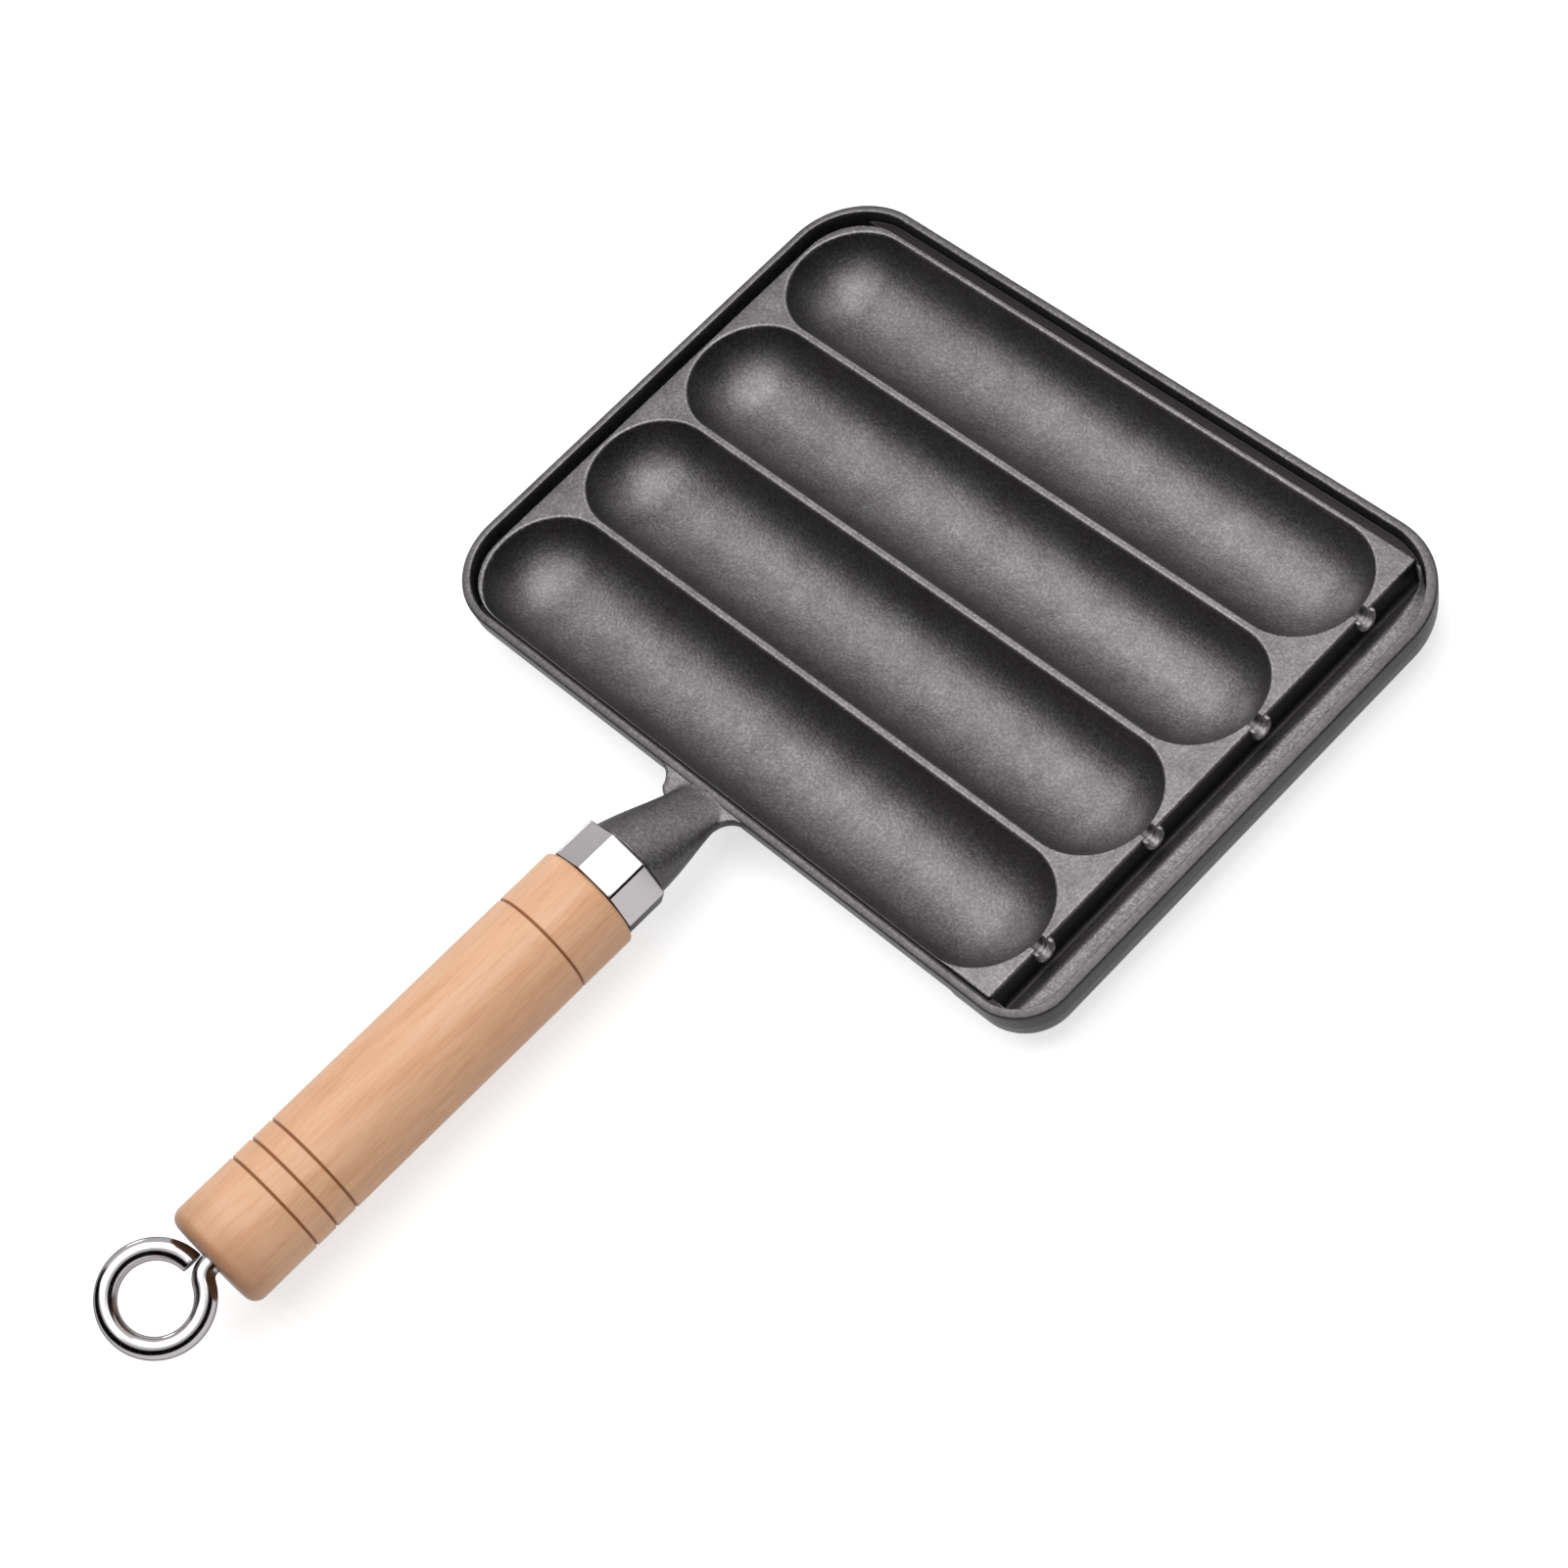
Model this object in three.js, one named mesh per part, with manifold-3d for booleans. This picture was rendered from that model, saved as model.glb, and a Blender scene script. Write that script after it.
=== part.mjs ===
// Sausage grill pan: an iron casting with four troughs and an oil gutter, and a bolted wooden handle.
// Millimetres. +Z is up, +X runs along the troughs to the gutter, and the handle points along -Y.
import * as THREE from "three";
import { LoftGeometry } from "three/addons/geometries/LoftGeometry.js";
import { mergeVertices } from "three/addons/utils/BufferGeometryUtils.js";
import Module from "manifold-3d";

// Troughs, each a round-ended hollow with an arc for its section.
const TROUGHS = 4;
const TROUGH_LENGTH = 203;
const TROUGH_WIDTH = 37.6;
const TROUGH_DEPTH = 13.5;
const FLOOR_FLAT = 4.5;
const RIDGE_WIDTH = 1.9;
const EDGE_ROUND = 0.5;

// Casting wall, and the flat land that each bulge stands on.
const WALL = 4;
const LAND_WIDTH = 9;

// Margins around the troughs. The trough beside the handle runs a little into its channel.
const RIM_WIDTH = 2.4;
const RIM_HEIGHT = 2.5;
const RIM_ROUND = 0.6;
const RIM_DRAFT = 0.4;
const PLATE = 4;
const BULGE_STEP = 0.4;
const CHANNEL_DEPTH = 1.2;
const END_CHANNEL = 2.2;
const END_LIP = 1.5;
const FAR_CHANNEL = 3.2;
const FAR_LIP = 1.5;
const NEAR_CHANNEL = 1.5;
const NEAR_OVERRUN = 0.3;
const CORNER_RADIUS = 23;
const PLATEAU_CORNER_RADIUS = 17.5;

// Oil gutter across the +X end: a steep inner wall, and a floor that sweeps up to the rim.
const GUTTER_WALL = 1.7;
const GUTTER_WIDTH = 13;
const GUTTER_DEPTH = 9;
const GUTTER_FLAT = 3;
const GUTTER_FILLET = 1.2;
const GUTTER_CORNER_RADIUS = 7;
const GUTTER_STEP = 0.3;
const GUTTER_RIM = 3.2;
const GUTTER_NEAR_RADIUS = 15;
const GUTTER_FAR_RADIUS = 25;
const SKIRT_HEIGHT = 6.9;
const SKIRT_ROUND = 9;
const SKIRT_STEP = 0.2;
const SKIRT_REACH = 12;

// Drain notch from each trough, with a short spout over the gutter.
const NOTCH_WIDTH = 4;
const NOTCH_DEPTH = 4.5;
const SPOUT_REACH = 1.6;
const SPOUT_WALL = 1;

// Neck, cast with the pan. It grows from a web on the rim into a round shoulder.
const NECK_LENGTH = 26.8;
const NECK_WAIST = 16;
const NECK_END_DIAMETER = 24;
const NECK_ROOT_DEPTH = 3.2;
const WEB_WIDTH = 20;
const WEB_LENGTH = 10;
const WEB_THICKNESS = 3;
const WEB_OFFSET = -2.2;
const WEB_FILLET = 6.5;
const WEB_SINK = 0.25;
const AXIS_ABOVE_RIM = 4.2;
const HANDLE_TILT = THREE.MathUtils.degToRad(0.8);

// Handle fittings. The spigot and the tenon meet inside the ferrule.
const SEAT_GAP = 0.3;
const FERRULE_LENGTH = 12.5;
const FERRULE_FLATS = 26.4;
const FERRULE_SIDES = 8;
const FERRULE_CORNER = 1.2;
const FERRULE_BEVEL = 0.5;
const FERRULE_BORE = 22.4;
const SPIGOT_LENGTH = 5;
const GRIP_LENGTH = 129.8;
const GRIP_DIAMETER = 30.2;
const GRIP_FRONT_ROUND = 1.2;
const GRIP_TAIL_ROUND = 3.5;
const TENON_LENGTH = 6.8;
const GROOVE_WIDTH = 0.9;
const GROOVE_DEPTH = 0.5;
const FRONT_GROOVE = 17.4;
const TAIL_GROOVES = 3;
const TAIL_GROOVE_FIRST = 21;
const TAIL_GROOVE_STEP = 6.6;

// Eye bolt, bent from plain wire.
const WIRE_DIAMETER = 5.8;
const BORE_CLEARANCE = 0.5;
const THREAD_CLEARANCE = 0.3;
const THREAD_ENGAGED = 12;
const HOLE_SPARE = 3;
const TIP_CHAMFER = 0.8;
const EYE_STEM = 0.5;
const EYE_RADIUS = 12.05;
const EYE_OFFSET = 3.2;
const EYE_BEND_RADIUS = 4.5;
const HANDLE_ROLL = THREE.MathUtils.degToRad(27);

// Facets, the smallest corner, and how far a cut runs past the face that it opens.
const END_STEPS = 12;
const ARC_LEVELS = 6;
const CORNER_STEPS = 7;
const CURVE_STEPS = 8;
const GRIP_ROUND_STEPS = 3;
const ROUND_SIDES = 40;
const NECK_SIDES = 32;
const NECK_STEPS = 10;
const WIRE_SIDES = 12;
const BEND_STEPS = 6;
const LOOP_STEPS = 36;
const LEAST_RADIUS = 0.3;
const CUT_PAST = 1;

// Layout of the pan seen from above, centred on its outline.
const pitch = TROUGH_WIDTH + RIDGE_WIDTH;
const nearMargin = RIM_WIDTH + NEAR_CHANNEL - NEAR_OVERRUN;
const farMargin = FAR_LIP + FAR_CHANNEL + RIM_WIDTH;
const endMargin = RIM_WIDTH + END_CHANNEL + END_LIP;
const panWidth = nearMargin + TROUGHS * TROUGH_WIDTH + (TROUGHS - 1) * RIDGE_WIDTH + farMargin;
const panLength = endMargin + TROUGH_LENGTH + GUTTER_WALL + GUTTER_WIDTH + GUTTER_RIM;
const halfLength = panLength / 2;
const halfWidth = panWidth / 2;
const troughRadius = TROUGH_WIDTH / 2;
const troughStart = -halfLength + endMargin;
const troughEnd = troughStart + TROUGH_LENGTH;
const gutterStart = troughEnd + GUTTER_WALL;
const gutterEnd = gutterStart + GUTTER_WIDTH;
const plateauNear = -halfWidth + RIM_WIDTH + NEAR_CHANNEL;
const plateauFar = halfWidth - RIM_WIDTH - FAR_CHANNEL;
const troughY = (i) => -halfWidth + nearMargin + troughRadius + i * pitch;

// Heights. The lands stand on z = 0.
const arcRadius = (troughRadius ** 2 + TROUGH_DEPTH ** 2) / (2 * TROUGH_DEPTH);
const bulgeRadius = arcRadius + WALL;
const landHalf = LAND_WIDTH / 2;
const arcCentre = Math.sqrt(bulgeRadius ** 2 - landHalf ** 2);
const floorTop = arcCentre - arcRadius;
const plateauTop = floorTop + TROUGH_DEPTH;
const rimTop = plateauTop + RIM_HEIGHT;
const plateBottom = plateauTop - PLATE;
const channelFloor = plateauTop - CHANNEL_DEPTH;
const gutterFloor = plateauTop - GUTTER_DEPTH;
const aboveRim = rimTop + CUT_PAST;

// Solids.
const wasm = await Module();
wasm.setup();

function solidFrom(geometry) {
  const bare = new THREE.BufferGeometry();
  bare.setAttribute("position", geometry.getAttribute("position"));
  bare.setIndex(geometry.index);
  const merged = mergeVertices(bare, 1e-4);
  const corners = merged.index.array;
  const triVerts = [];
  for (let i = 0; i < corners.length; i += 3) {
    const [a, b, c] = corners.slice(i, i + 3);
    if (a !== b && b !== c && c !== a) triVerts.push(a, b, c);
  }
  const vertProperties = merged.attributes.position.array;
  const mesh = new wasm.Mesh({ numProp: 3, vertProperties, triVerts: new Uint32Array(triVerts) });
  return new wasm.Manifold(mesh);
}

function geometryFrom(solid) {
  const { vertProperties, triVerts } = solid.getMesh();
  const geometry = new THREE.BufferGeometry();
  geometry.setAttribute("position", new THREE.BufferAttribute(vertProperties, 3));
  geometry.setIndex(new THREE.BufferAttribute(triVerts, 1));
  geometry.computeVertexNormals();
  return geometry;
}

// Rounded rectangle inside a box, drawn in by inset. The near and far radii are those of its +X end.
function roundedBox({ x0, x1, y0, y1, startRadius, nearRadius, farRadius }, inset) {
  const points = [];
  const room = Math.min(x1 - x0, y1 - y0) - 2 * inset - LEAST_RADIUS;
  const corner = (x, y, sx, sy, radius, from) => {
    const r = Math.max(Math.min(radius - inset, room), LEAST_RADIUS);
    for (let k = 0; k <= CORNER_STEPS; k++) {
      const t = from + (k / CORNER_STEPS) * (Math.PI / 2);
      const px = x - sx * (inset + r) + r * Math.cos(t);
      const py = y - sy * (inset + r) + r * Math.sin(t);
      points.push(new THREE.Vector2(px, py));
    }
  };
  corner(x1, y1, 1, 1, farRadius, 0);
  corner(x0, y1, -1, 1, startRadius, Math.PI / 2);
  corner(x0, y0, -1, -1, startRadius, Math.PI);
  corner(x1, y0, 1, -1, nearRadius, (3 * Math.PI) / 2);
  return points;
}

// Round-ended slot along X, of half width w.
function slot(xStart, xEnd, y, w) {
  const points = [];
  const half = (x, from) => {
    for (let k = 0; k <= END_STEPS; k++) {
      const t = from + (k / END_STEPS) * Math.PI;
      points.push(new THREE.Vector2(x + w * Math.cos(t), y + w * Math.sin(t)));
    }
  };
  half(xEnd, -Math.PI / 2);
  half(xStart, Math.PI / 2);
  return points;
}

// Solid through flat outlines stacked along Z, from the lowest up.
function stacked(levels) {
  const sections = levels.map(([outline, z]) => outline.map((p) => new THREE.Vector3(p.x, p.y, z)));
  return solidFrom(new LoftGeometry(sections, { capStart: true, capEnd: true }));
}

const boxStack = (box, levels) => stacked(levels.map(([inset, z]) => [roundedBox(box, inset), z]));

// Arc levels between two half widths, as [half width, z] pairs.
function arcLevels(radius, from, to) {
  const a = Math.asin(from / radius);
  const b = Math.asin(to / radius);
  return Array.from({ length: ARC_LEVELS + 1 }, (_, k) => {
    const t = a + ((b - a) * k) / ARC_LEVELS;
    return [radius * Math.sin(t), arcCentre - radius * Math.cos(t)];
  });
}

// Outer plate with its rim, soft at the edges.
const panBox = {
  x0: -halfLength,
  x1: halfLength,
  y0: -halfWidth,
  y1: halfWidth,
  startRadius: CORNER_RADIUS,
  nearRadius: GUTTER_NEAR_RADIUS,
  farRadius: GUTTER_FAR_RADIUS,
};
const outerPlate = boxStack(panBox, [
  [RIM_DRAFT + RIM_ROUND, plateBottom],
  [RIM_DRAFT, plateBottom + RIM_ROUND],
  [0, rimTop - RIM_ROUND],
  [RIM_ROUND / 4, rimTop - RIM_ROUND / 4],
  [RIM_ROUND, rimTop],
]);

// Pocket inside the rim, down to the channel, and the plateau that stays in it.
const pocketBox = {
  x0: -halfLength + RIM_WIDTH,
  x1: halfLength - GUTTER_RIM,
  y0: -halfWidth + RIM_WIDTH,
  y1: halfWidth - RIM_WIDTH,
  startRadius: CORNER_RADIUS - RIM_WIDTH,
  nearRadius: GUTTER_NEAR_RADIUS - RIM_WIDTH,
  farRadius: GUTTER_FAR_RADIUS - RIM_WIDTH,
};
const pocket = boxStack(pocketBox, [
  [RIM_DRAFT, channelFloor],
  [0, rimTop - RIM_ROUND],
  [-RIM_ROUND, rimTop],
  [-RIM_ROUND, aboveRim],
]);
const plateauBox = {
  x0: troughStart - END_LIP,
  x1: gutterStart,
  y0: plateauNear,
  y1: plateauFar,
  startRadius: PLATEAU_CORNER_RADIUS,
  nearRadius: EDGE_ROUND,
  farRadius: EDGE_ROUND,
};
const plateau = boxStack(plateauBox, [
  [0, plateBottom],
  [0, plateauTop - EDGE_ROUND],
  [EDGE_ROUND, plateauTop],
]);

// Space under the plate that the bulges may fill.
const underEdge = RIM_DRAFT + RIM_ROUND + BULGE_STEP;
const underPlate = boxStack(panBox, [
  [underEdge, -CUT_PAST],
  [underEdge, plateBottom + RIM_ROUND],
]);

// One trough's hollow, and the bulge that carries it underneath.
const hollowStart = troughStart + troughRadius;
const hollowEnd = troughEnd - troughRadius;
function troughHollow(y) {
  const arc = arcLevels(arcRadius, FLOOR_FLAT / 2, troughRadius);
  arc[arc.length - 1] = [troughRadius, plateauTop - EDGE_ROUND];
  const lip = troughRadius + EDGE_ROUND;
  const levels = [...arc, [lip, plateauTop], [lip, aboveRim]];
  return stacked(levels.map(([w, z]) => [slot(hollowStart, hollowEnd, y, w), z]));
}
function troughBulge(y) {
  const widest = Math.sqrt(bulgeRadius ** 2 - (arcCentre - plateBottom) ** 2);
  const arc = arcLevels(bulgeRadius, landHalf, widest);
  const levels = [...arc, [widest, plateBottom + RIM_ROUND]];
  const bulge = stacked(levels.map(([w, z]) => [slot(hollowStart, hollowEnd, y, w), z]));
  return bulge.intersect(underPlate);
}

// Gutter hollow: its section in X and height drawn along the end, with round ends inside the rim.
function gutterHollow() {
  const flatEnd = gutterStart + GUTTER_FLAT;
  const r = GUTTER_FILLET;
  const outline = new THREE.Shape();
  outline.moveTo(gutterEnd, aboveRim);
  outline.lineTo(gutterStart, aboveRim);
  outline.absarc(gutterStart + r, gutterFloor + r, r, Math.PI, (3 * Math.PI) / 2);
  outline.absellipse(flatEnd, plateauTop, gutterEnd - flatEnd, GUTTER_DEPTH, -Math.PI / 2, 0);
  const options = { depth: panWidth, bevelEnabled: false, curveSegments: CURVE_STEPS };
  const geometry = new THREE.ExtrudeGeometry(outline, options).rotateX(Math.PI / 2);
  const run = solidFrom(geometry.translate(0, halfWidth, 0));
  const endsBox = {
    x0: gutterStart - GUTTER_CORNER_RADIUS,
    x1: gutterEnd,
    y0: plateauNear,
    y1: plateauFar,
    startRadius: EDGE_ROUND,
    nearRadius: GUTTER_CORNER_RADIUS,
    farRadius: GUTTER_CORNER_RADIUS,
  };
  const ends = boxStack(endsBox, [
    [GUTTER_FILLET, gutterFloor - CUT_PAST],
    [0, plateauTop],
    [0, aboveRim],
  ]);
  const insideRim = boxStack(pocketBox, [
    [RIM_DRAFT + GUTTER_STEP, gutterFloor - CUT_PAST],
    [RIM_DRAFT + GUTTER_STEP, aboveRim],
  ]);
  return run.intersect(ends).intersect(insideRim);
}

// Skirt that carries the gutter: it drops from the rim at the +X end and rounds in underneath.
function gutterSkirt() {
  const skirtBox = { ...panBox, x0: gutterStart - SKIRT_REACH, startRadius: LEAST_RADIUS };
  const top = rimTop - SKIRT_HEIGHT;
  const drop = top - gutterFloor + WALL;
  const edge = RIM_DRAFT + SKIRT_STEP;
  const levels = Array.from({ length: ARC_LEVELS + 1 }, (_, k) => {
    const t = ((1 - k / ARC_LEVELS) * Math.PI) / 2;
    return [edge + SKIRT_ROUND * (1 - Math.cos(t)), top - drop * Math.sin(t)];
  });
  return boxStack(skirtBox, [...levels, [edge, plateBottom + RIM_ROUND]]);
}

// Slot along X with a round bottom, sunk in the plateau: the drain notch, and its spout's outside.
function drain(y, width, depth, from, to) {
  const r = width / 2;
  const outline = new THREE.Shape();
  outline.moveTo(r, RIM_HEIGHT);
  outline.lineTo(-r, RIM_HEIGHT);
  outline.absarc(0, r - depth, r, Math.PI, 2 * Math.PI);
  const options = { depth: to - from, bevelEnabled: false, curveSegments: CURVE_STEPS };
  const geometry = new THREE.ExtrudeGeometry(outline, options);
  geometry.rotateX(Math.PI / 2);
  geometry.rotateZ(Math.PI / 2);
  return solidFrom(geometry.translate(from, y, plateauTop));
}
const belowPlateau = boxStack(panBox, [
  [0, 0],
  [0, plateauTop - EDGE_ROUND],
]);
const spoutEnd = gutterStart + SPOUT_REACH;
const notch = (y) => drain(y, NOTCH_WIDTH, NOTCH_DEPTH, hollowEnd, spoutEnd + CUT_PAST);
const spout = (y) => {
  const width = NOTCH_WIDTH + 2 * SPOUT_WALL;
  return drain(y, width, NOTCH_DEPTH + SPOUT_WALL, troughEnd, spoutEnd).intersect(belowPlateau);
};

// Handle frame: its own +Y runs along the handle to the tail, and its +Z is up.
const handle = new THREE.Group();
handle.position.set(0, -halfWidth, rimTop + AXIS_ABOVE_RIM);
handle.rotation.set(-HANDLE_TILT, 0, Math.PI);
handle.updateMatrix();
const ferruleFront = NECK_LENGTH + SEAT_GAP;
const gripFront = ferruleFront + FERRULE_LENGTH + SEAT_GAP;
const gripTail = gripFront + GRIP_LENGTH;
const spigotEnd = NECK_LENGTH + SPIGOT_LENGTH;
const seatRadius = FERRULE_BORE / 2 - SEAT_GAP;

// Neck: flat and level with the rim at its root, round at its shoulder.
function neck() {
  const root = RIM_DRAFT - RIM_WIDTH + RIM_ROUND;
  const endRadius = NECK_END_DIAMETER / 2;
  const rootTop = -AXIS_ABOVE_RIM - RIM_ROUND;
  const rootBottom = -AXIS_ABOVE_RIM - NECK_ROOT_DEPTH;
  const sections = Array.from({ length: NECK_STEPS + 1 }, (_, i) => {
    const s = i / NECK_STEPS;
    const ease = s * s * (3 - 2 * s);
    const halfWide = THREE.MathUtils.lerp(NECK_WAIST / 2, endRadius, ease);
    const top = THREE.MathUtils.lerp(rootTop, endRadius, s);
    const bottom = THREE.MathUtils.lerp(rootBottom, -endRadius, s);
    const y = THREE.MathUtils.lerp(root, NECK_LENGTH, s);
    return Array.from({ length: NECK_SIDES }, (_, k) => {
      const t = (k / NECK_SIDES) * 2 * Math.PI;
      const z = (top + bottom) / 2 + ((top - bottom) / 2) * Math.sin(t);
      return new THREE.Vector3(-halfWide * Math.cos(t), y, z);
    });
  });
  return new LoftGeometry(sections, { capStart: true, capEnd: true });
}

// Web at the neck's root, level with the rim, with a fillet to the rim on each side.
function neckWeb() {
  const r = WEB_FILLET;
  const left = WEB_OFFSET - WEB_WIDTH / 2;
  const right = WEB_OFFSET + WEB_WIDTH / 2;
  const foot = -halfWidth + RIM_WIDTH / 2;
  const centre = -halfWidth + WEB_SINK - r;
  const end = -halfWidth - WEB_LENGTH;
  const outline = new THREE.Shape();
  outline.moveTo(right + r, foot);
  outline.lineTo(left - r, foot);
  outline.absarc(left - r, centre, r, Math.PI / 2, 0, true);
  outline.lineTo(left, end);
  outline.lineTo(right, end);
  outline.absarc(right + r, centre, r, Math.PI, Math.PI / 2, true);
  const options = { depth: WEB_THICKNESS, bevelEnabled: false, curveSegments: CURVE_STEPS };
  const geometry = new THREE.ExtrudeGeometry(outline, options);
  return geometry.translate(0, 0, rimTop - WEB_SINK - WEB_THICKNESS);
}

const handleRod = (radius, from, to) =>
  new THREE.CylinderGeometry(radius, radius, to - from, ROUND_SIDES).translate(0, (from + to) / 2, 0);
const inPan = (geometry) => solidFrom(geometry.applyMatrix4(handle.matrix));

function panCasting() {
  let pan = outerPlate.add(gutterSkirt());
  const rows = Array.from({ length: TROUGHS }, (_, i) => troughY(i));
  rows.forEach((y) => {
    pan = pan.add(troughBulge(y));
  });
  pan = pan.subtract(pocket.subtract(plateau)).subtract(gutterHollow());
  rows.forEach((y) => {
    pan = pan.add(spout(y)).subtract(troughHollow(y)).subtract(notch(y));
  });
  pan = pan.add(solidFrom(neckWeb())).add(inPan(neck()));
  pan = pan.add(inPan(handleRod(seatRadius, NECK_LENGTH - CUT_PAST, spigotEnd)));
  const holeRadius = WIRE_DIAMETER / 2 + THREAD_CLEARANCE;
  const holeEnd = spigotEnd - THREAD_ENGAGED - HOLE_SPARE;
  return pan.subtract(inPan(handleRod(holeRadius, holeEnd, spigotEnd + CUT_PAST)));
}

// Eight-sided collar with soft corners and a round bore.
function ferrule() {
  const apothem = FERRULE_FLATS / 2;
  const step = (2 * Math.PI) / FERRULE_SIDES;
  const cornerCentre = (apothem - FERRULE_CORNER) / Math.cos(step / 2);
  const outline = new THREE.Shape();
  for (let k = 0; k < FERRULE_SIDES; k++) {
    const t = (k + 0.5) * step;
    const x = cornerCentre * Math.cos(t);
    const y = cornerCentre * Math.sin(t);
    outline.absarc(x, y, FERRULE_CORNER, t - step / 2, t + step / 2);
  }
  const bore = new THREE.Path();
  bore.absarc(0, 0, FERRULE_BORE / 2 + FERRULE_BEVEL, 0, 2 * Math.PI, true);
  outline.holes.push(bore);
  const geometry = new THREE.ExtrudeGeometry(outline, {
    depth: FERRULE_LENGTH - 2 * FERRULE_BEVEL,
    bevelThickness: FERRULE_BEVEL,
    bevelSize: FERRULE_BEVEL,
    bevelOffset: -FERRULE_BEVEL,
    bevelSegments: 2,
    curveSegments: CURVE_STEPS,
  });
  geometry.translate(0, 0, FERRULE_BEVEL);
  geometry.rotateX(-Math.PI / 2);
  return geometry;
}

// Turned grip, bored from end to end, with a tenon in front.
function grip() {
  const bore = WIRE_DIAMETER / 2 + BORE_CLEARANCE;
  const outer = GRIP_DIAMETER / 2;
  const profile = new THREE.Path();
  const groove = (y) => {
    profile.lineTo(outer, y - GROOVE_WIDTH / 2);
    profile.lineTo(outer - GROOVE_DEPTH, y);
    profile.lineTo(outer, y + GROOVE_WIDTH / 2);
  };
  profile.moveTo(bore, -TENON_LENGTH);
  profile.lineTo(seatRadius, -TENON_LENGTH);
  profile.lineTo(seatRadius, 0);
  profile.lineTo(outer - GRIP_FRONT_ROUND, 0);
  profile.absarc(outer - GRIP_FRONT_ROUND, GRIP_FRONT_ROUND, GRIP_FRONT_ROUND, -Math.PI / 2, 0);
  groove(FRONT_GROOVE);
  for (let k = TAIL_GROOVES - 1; k >= 0; k--) {
    groove(GRIP_LENGTH - TAIL_GROOVE_FIRST - k * TAIL_GROOVE_STEP);
  }
  const tail = GRIP_LENGTH - GRIP_TAIL_ROUND;
  profile.absarc(outer - GRIP_TAIL_ROUND, tail, GRIP_TAIL_ROUND, 0, Math.PI / 2);
  profile.lineTo(bore, GRIP_LENGTH);
  profile.lineTo(bore, -TENON_LENGTH);
  return new THREE.LatheGeometry(profile.getPoints(GRIP_ROUND_STEPS), ROUND_SIDES);
}

// Rod, small bend and eye in one flat path, from the threaded tip to the cut end.
function eyeBolt() {
  const r = WIRE_DIAMETER / 2;
  const tip = spigotEnd - THREAD_ENGAGED;
  const turn = Math.acos((EYE_BEND_RADIUS + EYE_OFFSET) / (EYE_BEND_RADIUS + EYE_RADIUS));
  const bendStart = gripTail + SEAT_GAP + EYE_STEM;
  const eyeX = EYE_BEND_RADIUS - (EYE_BEND_RADIUS + EYE_RADIUS) * Math.cos(turn);
  const eyeY = bendStart + (EYE_BEND_RADIUS + EYE_RADIUS) * Math.sin(turn);
  const stations = [];
  const station = (x, y, heading, radius) => stations.push({ x, y, heading, radius });
  station(0, tip, 0, r - TIP_CHAMFER);
  station(0, tip + TIP_CHAMFER, 0, r);
  for (let k = 0; k < BEND_STEPS; k++) {
    const t = (turn * k) / BEND_STEPS;
    const x = EYE_BEND_RADIUS * (1 - Math.cos(t));
    station(x, bendStart + EYE_BEND_RADIUS * Math.sin(t), t, r);
  }
  const loopTurn = turn + (3 * Math.PI) / 2;
  for (let k = 0; k <= LOOP_STEPS; k++) {
    const t = -turn + (loopTurn * k) / LOOP_STEPS;
    station(eyeX + EYE_RADIUS * Math.cos(t), eyeY + EYE_RADIUS * Math.sin(t), -t, r);
  }
  const sections = stations.map(({ x, y, heading, radius }) =>
    Array.from({ length: WIRE_SIDES }, (_, k) => {
      const t = (k / WIRE_SIDES) * 2 * Math.PI;
      const across = -radius * Math.cos(t);
      return new THREE.Vector3(
        x + across * Math.cos(heading),
        y - across * Math.sin(heading),
        radius * Math.sin(t),
      );
    }),
  );
  return new LoftGeometry(sections, { capStart: true, capEnd: true });
}

// Finishes.
const iron = new THREE.MeshStandardMaterial({ color: 0x3b3939, roughness: 0.55, metalness: 0.7 });
const steel = new THREE.MeshStandardMaterial({ color: 0xd9d7d8, roughness: 0.15, metalness: 1 });
const wood = new THREE.MeshStandardMaterial({ color: 0xe0b088, roughness: 0.55, metalness: 0 });

function named(name, geometry, material) {
  const mesh = new THREE.Mesh(geometry, material);
  mesh.name = name;
  return mesh;
}

const ferruleMesh = named("ferrule", geometryFrom(solidFrom(ferrule())), steel);
ferruleMesh.position.y = ferruleFront;
ferruleMesh.rotation.y = Math.PI / 2 - HANDLE_ROLL;
const gripMesh = named("wood_grip", geometryFrom(solidFrom(grip())), wood);
gripMesh.position.y = gripFront;
const eyeMesh = named("eye_bolt", geometryFrom(solidFrom(eyeBolt())), steel);
eyeMesh.rotation.y = Math.PI - HANDLE_ROLL;
handle.add(ferruleMesh, gripMesh, eyeMesh);

const assembly = new THREE.Group();
assembly.add(named("pan_casting", geometryFrom(panCasting()), iron), handle);

// The part's origin is the middle of its footprint, on the plane that it stands on.
const extent = new THREE.Box3().setFromObject(assembly, true);
const middle = extent.getCenter(new THREE.Vector3());
assembly.position.set(-middle.x, -middle.y, -extent.min.z);

const part = new THREE.Group();
part.add(assembly);

export default part;
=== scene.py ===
# %% [markdown]
# # A sausage grill pan
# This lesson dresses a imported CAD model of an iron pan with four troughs, a gutter for the fat and a turned
# wooden handle. The CAD solids are exact but faceted. Here each one is replaced by a fine surface that is
# worked out with numpy, so that the cast edges are soft and the light runs smoothly over them.

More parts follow.
